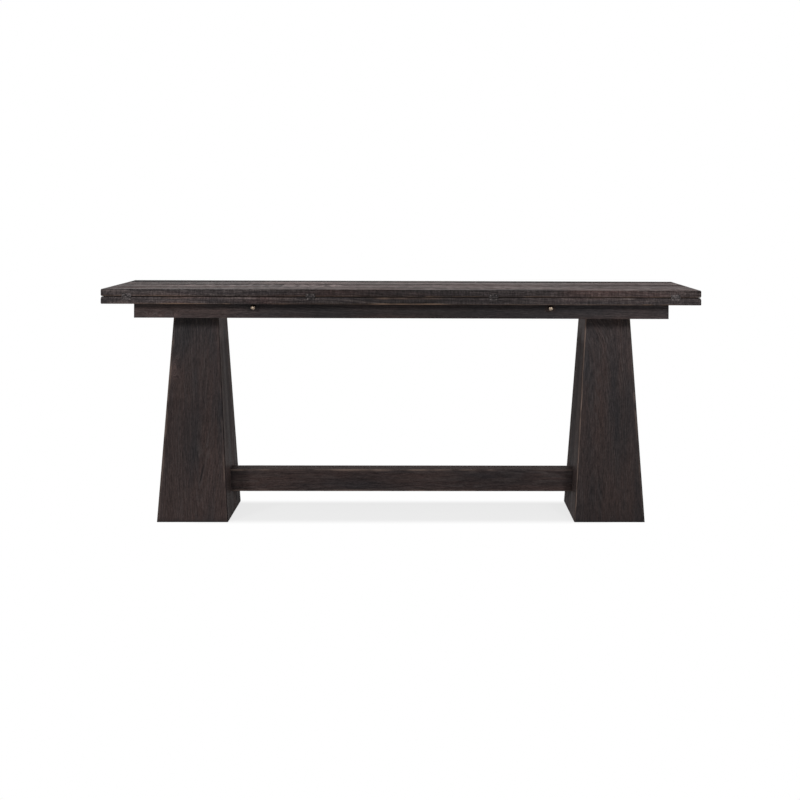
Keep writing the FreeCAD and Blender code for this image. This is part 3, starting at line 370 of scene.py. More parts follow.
# straight bars: apron rails, lopers and stretcher; tones are pairs of a share of the length and a value,
# and knots are places along and up the face, two half widths and a lift
barBuild = {
    "apron_front_rail": {
        "along": 0, "arris": 1.5 * mm, "wear": 0.35, "stations": 400, "seed": 31,
        "knots": ((-754 * mm, 8 * mm, 13 * mm, 10 * mm, 26 * mm),
                  (-803 * mm, 6 * mm, 15 * mm, 8 * mm, 20 * mm),
                  (-838 * mm, 10 * mm, 12 * mm, 9 * mm, 18 * mm)),
        # painted light: the front rail is lighter towards both ends, where less shade falls on it than on
        # its middle
        "tone": ((0.0, 1.2), (0.22, 0.85), (0.34, 0.05), (0.66, 0.0), (0.8, 0.75), (1.0, 1.3)),
        # painted light on the upper half: lifts the leaf's shadow from the middle rightwards, a little
        # darker at the left
        "upperTone": ((0.0, -0.3), (0.25, -0.2), (0.4, 0.8), (0.75, 0.8), (1.0, 1.0)),
        "warmth": ((0.0, -0.04), (0.3, -0.04), (0.66, -0.05), (0.8, -0.14), (1.0, -0.16))},
    "apron_rear_rail": {"along": 0, "arris": 1.5 * mm, "wear": 0.35, "stations": 150, "seed": 37},
    "apron_left_rail": {"along": 1, "arris": 1.2 * mm, "wear": 0.3, "stations": 24, "seed": 41},
    "apron_right_rail": {"along": 1, "arris": 1.2 * mm, "wear": 0.3, "stations": 24, "seed": 43},
    # the lopers' front ends take the front rail's tone where they sit, painted light included
    "left_loper": {"along": 1, "arris": 0.8 * mm, "wear": 0.2, "stations": 26, "seed": 47, "endShade": 0.0,
                   "tone": ((0.0, 0.5), (1.0, 0.0))},
    "right_loper": {"along": 1, "arris": 0.8 * mm, "wear": 0.2, "stations": 26, "seed": 53, "endShade": 0.0,
                    "tone": ((0.0, 0.6), (1.0, 0.0))},
    "stretcher": {
        # its strong wear is partly a painted highlight along the arrises
        "along": 0, "arris": 2.8 * mm, "wear": 0.8, "wearHighlightReach": 5 * mm, "stations": 150, "seed": 59,
        # painted contact shade at the stretcher's ends reaches this far in
        "endShadeReach": 9 * mm,
        # painted light: lighter near both ends, filling the shadows the pylons cast there
        "tone": ((0.0, 0.3), (0.05, 0.75), (0.2, 0.25), (0.8, 0.3), (0.95, 0.9), (1.0, 0.9)),
        "warmth": ((0.0, 0.0), (0.1, 0.06), (0.9, 0.06), (1.0, 0.0))},
}
barPatches = (0.6, (140 * mm, 0.5), (30 * mm, 0.35))   # of wear
barFaceCount = 10        # points across each face of a bar, besides those near its edges
loperPlay = 0.3 * mm     # round a loper in the front rail
uprightWithin = 4 * mm   # ends that lean less than this are upright


# extreme corners of a CAD node's own points, near its lowest or highest level
def levelSpan(node, axis, top):
    flat = np.empty(len(nodes[node].data.vertices) * 3, np.float32)
    nodes[node].data.vertices.foreach_get("co", flat)
    points = flat.reshape(-1, 3).astype(float)
    levels = points[:, 2]
    chosen = points[levels > levels.max() - 1e-5] if top else points[levels < levels.min() + 1e-5]
    return chosen[:, axis].min(), chosen[:, axis].max()


# a bar's rectangular section with quarter-circle edges carried along X or Y; its ends lean where the
# solid's ends do, and the front rail's top steps down under the lopers
def bar(node):
    build = barBuild[node]
    axis, seed = build["along"], build["seed"]
    across = 1 - axis
    low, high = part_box(node)
    s = np.linspace(0.0, 1.0, build["stations"])
    startLow, endLow = levelSpan(node, axis, False)
    startHigh, endHigh = levelSpan(node, axis, True)
    if abs((endLow - startLow) - (endHigh - startHigh)) < uprightWithin:
        startLow, endLow, startHigh, endHigh = low[axis], high[axis], low[axis], high[axis]
    slots = []
    if node == "apron_front_rail":
        lopers = [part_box(loper) for loper in ("left_loper", "right_loper")]
        slots = [(start.x - loperPlay, end.x + loperPlay, start.z) for start, end in lopers]
    length = high.x - low.x
    for slotStart, slotEnd, floor in slots:
        share = (np.array([slotStart, slotEnd]) - low.x) / length
        edge = sharpStep / length
        s = np.unique(np.concatenate([s, [share[0] - edge, share[0], share[1], share[1] + edge]]))
    top = np.full(s.shape, high.z)
    for slotStart, slotEnd, floor in slots:
        place = low.x + s * length
        top = np.where((place > slotStart - sharpStep / 2) & (place < slotEnd + sharpStep / 2), floor, top)
    run = s * (high[axis] - low[axis])
    radius = build["arris"] * (1 + 0.3 * latticeNoise(run / 0.09, 0.5, seed))[:, None]
    q0, q1, z0, z1 = low[across], high[across], low.z, top[:, None]
    ones = np.ones_like(z1)
    arc = np.radians(np.array([12, 34, 56, 78]))
    wide, tall = faceShares(q1 - q0, barFaceCount), faceShares(high.z - low.z, barFaceCount)
    flatQ = q0 + radius + wide * (q1 - q0 - 2 * radius)
    flatZ = z0 + radius + tall * (z1 - z0 - 2 * radius)
    nearQ = np.minimum(wide, 1 - wide) * (q1 - q0)
    nearZ = np.minimum(tall, 1 - tall) * (high.z - low.z)
    full = np.ones((1, len(arc)))
    wearQ, wearZ = [fadeFrom(near, build.get("wearHighlightReach", 1.5 * mm))[None] for near in (nearQ, nearZ)]
    turnIn, turnUp = radius * (1 - np.sin(arc)), radius * (1 - np.cos(arc))
    blocks = [  # bottom, side, top, other side, with an edge after each
        (flatQ, z0 * np.ones_like(flatQ), wearQ),
        (q1 - turnIn, z0 + turnUp, full),
        (q1 * np.ones_like(flatZ), flatZ, wearZ),
        (q1 - turnUp, z1 - turnIn, full),
        (flatQ[:, ::-1], z1 * np.ones_like(flatQ), wearQ),
        (q0 + turnIn, z1 - turnUp, full),
        (q0 * np.ones_like(flatZ), flatZ[:, ::-1], wearZ),
        (q0 + turnUp, z0 + turnIn, full),
    ]
    q = np.concatenate([block[0] for block in blocks], axis=1)
    z = np.concatenate([block[1] for block in blocks], axis=1)
    wear = np.concatenate([block[2] * ones for block in blocks], axis=1) * build["wear"]
    patches = wearPatches(run, (2.5, 4.5), seed + 1, *barPatches)
    wear = wear * np.clip(patches, 0.05, 1)[:, None]
    lean = (z - low.z) / (high.z - low.z)
    start, end = startLow + lean * (startHigh - startLow), endLow + lean * (endHigh - endLow)
    t = start + s[:, None] * (end - start)
    rings = np.stack([t, q, z] if axis == 0 else [q, t, z], axis=-1)
    swell = knotSwell(t, z - low.z, build.get("knots", ()))
    grain = grainField(t - (low[axis] + high[axis]) / 2, z - (low.z + high.z) / 2 + swell, q - q0, seed)
    # painted contact shade: each bar darkens towards its ends, where it meets the next part
    dirt = fadeFrom(np.minimum(t - start, end - t), build.get("endShadeReach", 1 * mm))
    dirt = build.get("endShade", 0.6) * dirt
    tone = along(s, build.get("tone", plainTone))[:, None] + swell / knotTone
    # painted light: upperTone raises the upper half, where the leaf's shadow falls
    upperHalf = np.clip(2 * lean - 1, 0, 1)
    tone = tone + upperHalf * along(s, build.get("upperTone", plainTone))[:, None]
    warmth = along(s, build.get("warmth", plainTone))[:, None] * np.ones_like(t)
    return skinBoard(node, rings, grain, wear=np.clip(wear, 0, 1), dirt=np.clip(dirt, 0, 1), tone=tone,
                     warmth=warmth)


oakPieces["bar"] = [bar(node) for node in barBuild]
print("bars:", len(oakPieces["bar"]))

# pylon boards; tones are pairs of a share of the height and a value, a knot is a height, a way in from the
# outer corner, two half widths and a lift, and above a height a bend leans the inner half's grain over by
# curvature x rise^2
pylonBuild = {
    "arris": 4.0 * mm,       # the solid's eased corner
    "cornerRadius": 4.2 * mm,
    "board": 20.0 * mm,      # thickness
    "jointDip": 0.3 * mm,    # the mitre's line lies a little below the rounded corner
    "stations": 130,
    "across": 40,
    "relief": 0.25 * mm,     # brushed hollows
    "footShadeAndDirt": 5 * mm,      # how far painted contact shade and dirt reach up from the floor
    "bandReach": 4.5 * mm,   # how far rubbed wood, partly a painted highlight, spreads over the face beside a corner
    "patches": (0.75, (160 * mm, 0.25), (30 * mm, 0.3)),   # of wear
    "tone": {"left front": ((0.0, 0.3), (0.5, -0.1), (1.0, 0.55)),
             "right front": ((0.0, -0.3), (0.5, 0.15), (1.0, 1.1)),
             # the inner boards' tones are painted light and shade: a little darker at the stretcher's
             # height, lighter just above it (a painted sheen), and much lighter at the head under the apron
             # (a painted highlight)
             "left inner": ((0.0, 0.0), (0.12, -0.2), (0.18, -0.1), (0.24, 0.6), (0.4, 0.0), (0.85, 0.0),
                            (0.92, 1.4), (1.0, 3.2)),
             "right inner": ((0.0, 0.6), (0.12, 0.0), (0.18, -0.1), (0.24, 0.3), (0.4, 0.0), (0.85, -0.2),
                             (0.92, 1.4), (1.0, 3.4))},
    "warmth": {"left front": ((0.0, 0.1), (0.5, 0.03), (1.0, -0.12)),
               "right front": ((0.0, 0.04), (0.5, 0.0), (1.0, -0.16))},
    "pith": {"right front": (-52 * mm, 45 * mm, 0.065), "left front": (26 * mm, 60 * mm, -0.05)},
    "knots": {"left front": ((513 * mm, 14 * mm, 42 * mm, 13 * mm, 30 * mm),)},
    "bend": {"right front": (545 * mm, 1.9)},
}
# for each corner: wear at the foot and at the head, dirt in the joint, and rubbed wood beside it at foot
# and head; the wear and the rubbed wood are partly painted highlights along the corner
cornerLook = {
    "left": {"front inner": (0.35, 0.4, 1.0, 0.7, 0.55), "front outer": (0.6, 1.0, 0.15, 0.6, 1.0),
             "rear": (0.35, 0.35, 0.5, 0.1, 0.1)},
    "right": {"front inner": (0.8, 1.0, 0.05, 0.15, 0.2), "front outer": (0.5, 0.6, 0.8, 0.65, 0.8),
              "rear": (0.35, 0.35, 0.5, 0.1, 0.1)},
}
# the crack's ends: sideways from the board's middle, and height
crackBuild = {
    "board": "left_pylon_front_board",
    "foot": (22 * mm, 126 * mm), "head": (37 * mm, 200 * mm),
    "halfWidth": 2.3 * mm, "depth": 2.2 * mm,
}
facingTurns = {"front": (0, -1), "rear": (0, 1)}


# the crack's columns keep to a slanting line: sideways place and share of the crack's length at each height
def crackLine(z):
    build = crackBuild
    share = (z - build["foot"][1]) / (build["head"][1] - build["foot"][1])
    return build["foot"][0] + np.clip(share, 0, 1) * (build["head"][0] - build["foot"][0]), share


# a mitred board: a face with half of a rounded corner at each side, carried up from foot to head as both
# draw in
def pylonBoard(hand, facing, seed):
    build = pylonBuild
    node = f"{hand}_pylon_{facing}_board"
    low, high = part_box(node)
    towardMiddle = 1 if hand == "left" else -1
    outward = facingTurns.get(facing, (towardMiddle if facing == "inner" else -towardMiddle, 0))
    outAxis = 0 if outward[0] else 1
    sign = outward[outAxis]
    faceAxis = 1 - outAxis
    spans = [(levelSpan(node, faceAxis, top), levelSpan(node, outAxis, top)) for top in (False, True)]
    z = np.linspace(low.z, high.z, build["stations"])[:, None]
    share = (z - low.z) / (high.z - low.z)
    ones = np.ones_like(z)
    middle = sum(spans[0][0]) / 2
    halves = [(span[0][1] - span[0][0]) / 2 + build["arris"] / 2 for span in spans]
    reaches = [span[1][1] if sign > 0 else -span[1][0] for span in spans]
    half = halves[0] + share * (halves[1] - halves[0])
    reach = reaches[0] + share * (reaches[1] - reaches[0])
    radius = build["cornerRadius"] * (1 + 0.18 * latticeNoise(z / 0.1, 1.5, 5))

    # face columns, then the corner at the high side, the back, and the corner at the low side
    arc = np.radians(np.array([0, 15, 30, 40, 45]))
    dip = np.array([0, 0, 0, 0, build["jointDip"]])
    cornerAlong = half - radius * (1 - np.sin(arc)) - dip
    cornerOut = reach - radius * (1 - np.cos(arc)) - dip
    shares = faceShares(2 * halves[0], build["across"])[1:-1]
    faceAlong = (half - radius) * (2 * shares - 1)
    faceDirt = np.zeros_like(faceAlong)
    sink = np.zeros_like(faceAlong)
    if node == crackBuild["board"]:
        crackAt, crackShare = crackLine(z)
        across = np.array([-2.2, -1.0, 0.0, 1.0, 2.2]) * crackBuild["halfWidth"]
        edge = half - radius
        before = -edge + (crackAt + 2 * across[0] + edge) * shares[shares <= 0.5] / 0.5
        after = edge - (edge - crackAt - 2 * across[-1]) * (1 - shares[shares > 0.5]) / 0.5
        faceAlong = np.concatenate([before, crackAt + across, after], axis=1)
        gape = np.sqrt(np.clip(np.sin(np.pi * np.clip(crackShare, 0, 1)), 0, 1))
        inCrack = gape * np.clip(1.45 - np.abs(faceAlong - crackAt) / crackBuild["halfWidth"], 0, 1)
        faceDirt, sink = inCrack, crackBuild["depth"] * inCrack
    hollow = build["relief"] * (0.5 + 0.5 * latticeNoise(z / 0.3, faceAlong / (9 * mm), seed + 1))
    faceOut = reach - sink - hollow * np.clip((half - radius - np.abs(faceAlong)) / (14 * mm), 0, 1)
    backAlong, backOut = half - build["board"], reach - build["board"]
    side = np.concatenate([faceAlong, cornerAlong, backAlong, -backAlong, -cornerAlong[:, ::-1]], axis=1)
    out = np.concatenate([faceOut, cornerOut, backOut, backOut, cornerOut[:, ::-1]], axis=1)

    # each corner has its own wear, more or less towards the head, and dirt along its mitre
    looks = cornerLook[hand]
    sides = []
    for way in (-1, 1):
        if facing in ("front", "rear"):
            corner = facing + (" inner" if way == towardMiddle else " outer")
        else:
            corner = ("front " if way < 0 else "rear ") + facing
        foot, head, joint, footBand, headBand = looks[corner] if corner in looks else looks["rear"]
        sides.append((foot + share * (head - foot), joint, footBand + share * (headBand - footBand)))
    level = np.where(side < 0, sides[0][0], sides[1][0])
    joint = np.where(side < 0, sides[0][1], sides[1][1])
    band = np.where(faceAlong < 0, sides[0][2], sides[1][2]) * (facing in ("front", "rear"))
    cornerWearHighlight = ones * np.array([0.25, 0.75, 1.0, 1.0, 0.7])
    cornerDirt = ones * np.array([0.1, 0.6, 1.0, 1.0, 1.0])
    fromCorner = half - radius - np.abs(faceAlong)
    back = 0 * ones * np.ones(2)
    wear = np.concatenate([0 * faceAlong, cornerWearHighlight, back, cornerWearHighlight[:, ::-1]], axis=1) * level
    wear[:, :faceAlong.shape[1]] = band * fadeFrom(fromCorner, build["bandReach"])
    patches = wearPatches(z, (np.sign(side) + 2.0, np.sign(side) + 6.0), seed + 2, *build["patches"])
    wear = wear * np.clip(patches, 0.08, 1)
    highDirt, lowDirt = cornerDirt * joint[:, -1:], cornerDirt[:, ::-1] * joint[:, :1]
    dirt = np.concatenate([faceDirt, highDirt, back, lowDirt], axis=1)
    # painted contact shade with some dirt darkens the foot of each board
    dirt = np.maximum(dirt, 0.9 * fadeFrom(z - low.z, build["footShadeAndDirt"]))
    columns = [None, None, z * np.ones_like(side)]
    columns[faceAxis], columns[outAxis] = middle + side, sign * out
    rings = np.stack(columns, axis=-1)
    board = f"{hand} {facing}"
    bent = side
    if board in build["bend"]:
        start, curvature = build["bend"][board]
        innerHalf = np.clip(0.5 + towardMiddle * side / (0.9 * half), 0, 1)
        bent = side - towardMiddle * innerHalf * curvature * np.clip(z - start, 0, None) ** 2
    fromOuter = half + towardMiddle * side
    swell = knotSwell(z * np.ones_like(side), fromOuter, build["knots"].get(board, ()))
    grain = grainField(z - (low.z + high.z) / 2, bent + swell, reach - out, seed, build["pith"].get(board))
    # on the inner boards this tone is painted light and shade
    tone = along(share, build["tone"].get(board, plainTone)) + swell / knotTone
    warmth = along(share, build["warmth"].get(board, plainTone)) * np.ones_like(side)
    return skinBoard(node, rings, grain, wear=np.clip(wear, 0, 1), dirt=np.clip(dirt, 0, 1), tone=tone,
                     warmth=warmth)


oakPieces["pylon"] = [pylonBoard(hand, facing, 60 + 9 * i + 4 * j)
                      for i, hand in enumerate(("left", "right"))
                      for j, facing in enumerate(("front", "inner", "outer", "rear"))]
print("pylon boards:", len(oakPieces["pylon"]))


# node graph shorthand: inputs by place or by name, each a value or another node's output
def put(tree, kind, inputs=(), **options):
    node = tree.nodes.new("ShaderNode" + kind)
    for key, value in options.items():
        setattr(node, key, value)
    for place, value in inputs.items() if isinstance(inputs, dict) else enumerate(inputs):
        if isinstance(value, bpy.types.NodeSocket):
            tree.links.new(value, node.inputs[place])
        else:
            node.inputs[place].default_value = value
    return node.outputs[0] if node.outputs else None


def calc(tree, operation, first, second=0.0):
    return put(tree, "Math", [first, second], operation=operation)


def stretched(tree, vector, scale):
    return put(tree, "VectorMath", [vector, scale], operation="MULTIPLY")


def noise(tree, vector, scale, detail=2.0, roughness=0.55):
    return put(tree, "TexNoise", {"Vector": stretched(tree, vector, scale), "Scale": 1.0, "Detail": detail,
                                  "Roughness": roughness})


def rise(tree, value, low, high, start=0.0, end=1.0):
    return put(tree, "MapRange", [value, low, high, start, end], interpolation_type="SMOOTHSTEP")


def tint(tree, share, first, second, mode="MIX"):
    colours = [colour if isinstance(colour, bpy.types.NodeSocket) else (*colour, 1.0)
               for colour in (first, second)]
    mixed = put(tree, "Mix", {0: share, 6: colours[0], 7: colours[1]}, data_type="RGBA", blend_type=mode)
    return mixed.node.outputs[2]


def freshMaterial(name):
    material = bpy.data.materials.new(name)
    material.use_nodes = True
    material.node_tree.nodes.clear()
    return material, material.node_tree


def bumped(tree, height, strength, distance):
    return put(tree, "Bump", {"Height": height, "Strength": strength, "Distance": distance})


def surface(tree, inputs):
    shader = put(tree, "BsdfPrincipled", inputs)
    put(tree, "OutputMaterial", {"Surface": shader})


oakLook = {
    "stain": (0.0222, 0.0201, 0.0214),   # blue-black
    "russet": (0.042, 0.0285, 0.0262),   # where the stain is thinner
    "ridge": (0.050, 0.0425, 0.0415),    # late wood that brushing left proud
    "pore": (0.0066, 0.0066, 0.0074),
    "bare": (0.19, 0.138, 0.115),        # worn through to brown wood
    "ringPitch": 5.4 * mm,
    "driftRings": 7.0, "rippleRings": 1.6,   # how many rings slow drift and ripple shift
    "fibreDark": 0.45, "poreDark": 0.8, "dirtDark": 0.85,
    "toneShade": 0.4, "toneBands": 0.15, "toneRusset": 0.1,   # what a board's tone, with any painted light it carries, does
    "bandShade": (0.93, 1.07),           # broad bands of thin and thick stain
    "russetRise": (0.31, 0.73),          # how sharply stain and russet part
    "ridgeShare": 0.55,
    "fleck": 0.22,                       # short dark and light fibres
    "speck": 0.12,
    "sawn": 0.0,                         # ticks across the edges
    "specular": 0.05,
    "roughness": (0.62, 0.44),           # dull and rubbed bands
    "fuzz": 0.0, "fuzzTint": (0.5, 0.34, 0.3),   # glow of brushed fibres at a glancing view
}
# the faces seen edge-on
innerLook = {**oakLook, "specular": 0.005, "fuzz": 0.07}
# the leaves are a little lighter and have more sheen than what carries them
leafLook = {
    **oakLook,
    "stain": (0.030, 0.0252, 0.0255), "russet": (0.058, 0.0370, 0.0340), "ridge": (0.077, 0.063, 0.060),
    "bare": (0.18, 0.118, 0.082), "bandShade": (0.74, 1.26), "russetRise": (0.36, 0.66), "ridgeShare": 0.7,
    "speck": 0.26, "sawn": 0.28, "specular": 0.032, "roughness": (0.74, 0.42), "fuzz": 0.012,
}


# noise along the grain: scale along, across and deep, then detail and roughness
oakFields = {
    "drift": ((1.8, 12.0, 12.0), 3.0, 0.55),
    "ripple": ((9.0, 55.0, 55.0), 3.0, 0.55),
    "fibre": ((9.0, 520.0, 520.0), 2.0, 0.55),
    "pore": ((45.0, 1100.0, 1100.0), 1.0, 0.55),
    "tone": ((2.6, 17.0, 17.0), 4.0, 0.55),
    "bands": ((0.55, 24.0, 24.0), 4.0, 0.65),
    "streak": ((1.4, 85.0, 85.0), 2.0, 0.55),
    "fleck": ((42.0, 290.0, 290.0), 2.0, 0.6),
    "speck": ((150.0, 330.0, 330.0), 1.0, 0.55),
    "ticks": ((230.0, 40.0, 40.0), 1.0, 0.55),
}


# growth rings about the pith with slow drift, long fibres, short flecks and pores, broad bands of tone and
# sheen, bare wood where edges are worn (partly a painted highlight on the stretcher's arrises and the
# pylons' corners), dirt in joints with painted contact shade at bar ends and pylon feet, and painted light
# carried in some boards' tone
def darkOak(name, look):
    material, tree = freshMaterial(name)
    grain = put(tree, "Attribute", attribute_name="grain").node.outputs["Vector"]
    wear, dirt, toneAndPaintedLight, sawn, warmth = [put(tree, "Attribute", attribute_name=mark).node.outputs["Fac"]
                                           for mark in ("wear", "dirt", "tone", "sawn", "warmth")]
    parts = put(tree, "SeparateXYZ", [grain]).node.outputs
    crossways = put(tree, "CombineXYZ", [0.0, parts[1], parts[2]])
    fromPith = put(tree, "VectorMath", [crossways], operation="LENGTH").node.outputs["Value"]
    field = {name: noise(tree, grain, *shape) for name, shape in oakFields.items()}
    rings = calc(tree, "DIVIDE", fromPith, look["ringPitch"])
    rings = calc(tree, "ADD", rings, calc(tree, "MULTIPLY", field["drift"], look["driftRings"]))
    rings = calc(tree, "ADD", rings, calc(tree, "MULTIPLY", field["ripple"], look["rippleRings"]))
    ringShare = calc(tree, "FRACT", rings)
    lateWood = calc(tree, "MULTIPLY", rise(tree, ringShare, 0.15, 0.7), rise(tree, ringShare, 1.0, 0.88))
    earlyWood = calc(tree, "SUBTRACT", 1.0, lateWood)
    pores = calc(tree, "MULTIPLY", rise(tree, field["pore"], 0.56, 0.7), earlyWood)
    fibre, streak = field["fibre"], field["streak"]

    # the tone attribute holds each board's own tone and, on some boards, painted light and shade
    toned = {what: calc(tree, "MULTIPLY", toneAndPaintedLight, look[what])
             for what in ("toneShade", "toneBands", "toneRusset")}
    bands = calc(tree, "ADD", field["bands"], toned["toneBands"])
    tone = calc(tree, "ADD", calc(tree, "ADD", field["tone"], warmth), toned["toneRusset"])
    colour = tint(tree, rise(tree, tone, *look["russetRise"]), look["stain"], look["russet"])
    ridgeShare = calc(tree, "MULTIPLY", lateWood, rise(tree, streak, 0.35, 0.75, 0.1, look["ridgeShare"]))
    colour = tint(tree, ridgeShare, colour, look["ridge"])
    darkFibre = calc(tree, "MULTIPLY", rise(tree, fibre, 0.62, 0.3), look["fibreDark"])
    colour = tint(tree, darkFibre, colour, look["pore"])
    colour = tint(tree, calc(tree, "MULTIPLY", pores, look["poreDark"]), colour, look["pore"])
    shade = rise(tree, bands, 0.3, 0.7, *look["bandShade"])
    flecks = rise(tree, field["fleck"], 0.25, 0.75, 1 - look["fleck"], 1 + look["fleck"])
    specks = rise(tree, field["speck"], 0.3, 0.7, 1 - look["speck"], 1 + look["speck"])
    shade = calc(tree, "MULTIPLY", calc(tree, "MULTIPLY", shade, flecks), specks)
    shade = calc(tree, "MULTIPLY", shade, calc(tree, "ADD", 1.0, toned["toneShade"]))
    ticks = rise(tree, field["ticks"], 0.3, 0.7, -look["sawn"], look["sawn"])
    shade = calc(tree, "MULTIPLY", shade, calc(tree, "ADD", 1.0, calc(tree, "MULTIPLY", ticks, sawn)))
    colour = tint(tree, 1.0, colour, put(tree, "CombineXYZ", [shade, shade, shade]), "MULTIPLY")
    # worn edges show bare wood; on the stretcher's arrises and the pylons' corners this is partly a painted
    # highlight
    rubbed = calc(tree, "ADD", wear, calc(tree, "MULTIPLY", calc(tree, "SUBTRACT", fibre, 0.5), 0.45))
    colour = tint(tree, calc(tree, "MULTIPLY", rise(tree, rubbed, 0.1, 0.75), wear), colour, look["bare"])
    # dirt in joints and painted contact shade at bar ends and pylon feet pull the colour towards the pore
    # colour
    colour = tint(tree, calc(tree, "MULTIPLY", dirt, look["dirtDark"]), colour, look["pore"])

    height = calc(tree, "ADD", calc(tree, "MULTIPLY", lateWood, 0.5), calc(tree, "MULTIPLY", fibre, 0.5))
    height = calc(tree, "SUBTRACT", height, calc(tree, "MULTIPLY", pores, 0.6))
    sheen = rise(tree, bands, 0.34, 0.66, *look["roughness"])
    rough = calc(tree, "ADD", sheen, calc(tree, "MULTIPLY", calc(tree, "SUBTRACT", 0.5, lateWood), 0.1))
    surface(tree, {"Base Color": colour, "Roughness": rough, "Specular IOR Level": look["specular"],
                   "Sheen Weight": look["fuzz"], "Sheen Roughness": 0.4,
                   "Sheen Tint": (*look["fuzzTint"], 1.0), "Normal": bumped(tree, height, 0.55, 0.35 * mm)})
    return material


oak = darkOak("dark_oak_brushed", oakLook)
innerOak = darkOak("dark_oak_inner", innerLook)
leafOak = darkOak("dark_oak_leaf", leafLook)
for kind, pieces in oakPieces.items():
    for piece in pieces:
        edgeOn = "inner" in piece.name or "stretcher" in piece.name
        piece.data.materials.append(leafOak if kind == "leaf" else innerOak if edgeOn else oak)
print("dark oak on", sum(len(pieces) for pieces in oakPieces.values()), "pieces")

# finishes of the solids that stay as they are
insideLook = {"light": (0.47, 0.33, 0.2), "dark": (0.3, 0.19, 0.105), "roughness": 0.62}
steelLook = {"dark": (0.012, 0.0108, 0.0108), "rubbed": (0.056, 0.048, 0.047),
             "roughness": 0.66, "specular": 0.12}
# hinges 1 and 4: lighter rubbed patches that are partly painted highlights
highlightSteelLook = {"dark": (0.013, 0.0116, 0.0116), "rubbed": (0.12, 0.103, 0.103),
                 "roughness": 0.6, "specular": 0.15}
screwLook = {"dark": (0.05, 0.043, 0.042), "rubbed": (0.12, 0.104, 0.101),
             "roughness": 0.55, "specular": 0.3}
brassLook = {"bright": (0.41, 0.33, 0.255), "tarnish": (0.2, 0.155, 0.115),
             "roughness": 0.3, "specular": 0.5}
zincLook = {"bright": (0.52, 0.53, 0.55), "dull": (0.34, 0.34, 0.35), "roughness": 0.38, "specular": 0.5}
feltLook = {"light": (0.05, 0.046, 0.043), "dark": (0.018, 0.017, 0.016), "roughness": 0.95}
plasticLook = {"light": (0.07, 0.066, 0.062), "dark": (0.045, 0.042, 0.04), "roughness": 0.48}


def objectPlace(tree):
    return put(tree, "TexCoord").node.outputs["Object"]


# planed hardwood: long streaks along the table and fine fibres
def insideWood(name, look):
    material, tree = freshMaterial(name)
    place = objectPlace(tree)
    streak = noise(tree, place, (3.0, 45.0, 45.0), detail=4.0)
    fibre = noise(tree, place, (14.0, 420.0, 420.0), detail=2.0)
    colour = tint(tree, rise(tree, streak, 0.3, 0.7), look["dark"], look["light"])
    colour = tint(tree, rise(tree, fibre, 0.7, 0.35, 0.0, 0.35), colour, look["dark"])
    surface(tree, {"Base Color": colour, "Roughness": look["roughness"], "Specular IOR Level": 0.3,
                   "Normal": bumped(tree, fibre, 0.3, 0.2 * mm)})
    return material


# metal with cloudy tarnish and fine scratches
def cloudyMetal(name, look, first, second, metallic):
    material, tree = freshMaterial(name)
    place = objectPlace(tree)
    cloud = noise(tree, place, (160.0, 160.0, 160.0), detail=4.0)
    scratch = noise(tree, place, (300.0, 2600.0, 2600.0), detail=2.0)
    colour = tint(tree, rise(tree, cloud, 0.35, 0.7), look[first], look[second])
    rough = calc(tree, "ADD", look["roughness"] - 0.1, calc(tree, "MULTIPLY", cloud, 0.2))
    surface(tree, {"Base Color": colour, "Metallic": metallic, "Roughness": rough,
                   "Specular IOR Level": look["specular"],
                   "Normal": bumped(tree, scratch, 0.15, 0.05 * mm)})
    return material


# felt and moulded plastic: fine mottle with a matching bump
def mottled(name, look, grains, depth):
    material, tree = freshMaterial(name)
    mottle = noise(tree, objectPlace(tree), (grains, grains, grains), detail=4.0, roughness=0.7)
    colour = tint(tree, rise(tree, mottle, 0.35, 0.65), look["dark"], look["light"])
    surface(tree, {"Base Color": colour, "Roughness": look["roughness"], "Specular IOR Level": 0.25,
                   "Normal": bumped(tree, mottle, 0.5, depth)})
    return material


finishes = {
    "plain_hardwood": insideWood("planed_hardwood", insideLook),
    "dark_steel": cloudyMetal("bronzed_steel", steelLook, "dark", "rubbed", 0.5),
    "aged_brass": cloudyMetal("aged_brass", brassLook, "tarnish", "bright", 1.0),
    "zinc_steel": cloudyMetal("zinc_plate", zincLook, "dull", "bright", 1.0),
    "felt": mottled("dark_felt", feltLook, 1800.0, 0.3 * mm),
    "glide_plastic": mottled("glide_plastic", plasticLook, 700.0, 0.05 * mm),
    "dark_oak": oak,
}
rubbedScrews = cloudyMetal("rubbed_screw_steel", screwLook, "dark", "rubbed", 0.7)
highlightSteel = cloudyMetal("highlight_bronzed_steel", highlightSteelLook, "dark", "rubbed", 0.5)
nodeFinishes = {node: finishes[slotOf[node]] for node in nodes}
nodeFinishes.update({"hinge_lower_screws": rubbedScrews, "hinge_upper_screws": rubbedScrews})
# hinges 1 and 4 get the lighter steel, whose rubbed patches are partly painted highlights
nodeFinishes.update({f"hinge_{k}_{half}_plate": highlightSteel for k in (1, 4) for half in ("lower", "upper")})
for node, thing in nodes.items():
    for place in thing.material_slots:
        place.material = nodeFinishes[node]
print("finishes:", len(finishes))

# floor, light and camera
stageLook = {
    "floorHalf": 9.0, "paper": (0.5, 0.5, 0.5), "ambient": 0.36,
    "shadowShare": 0.23,                                  # how much of the shadow the white sheet shows
    "shadowHalf": (0.70, 0.135), "shadowSoft": 0.07,      # the sheet's shaded part, under the table
}


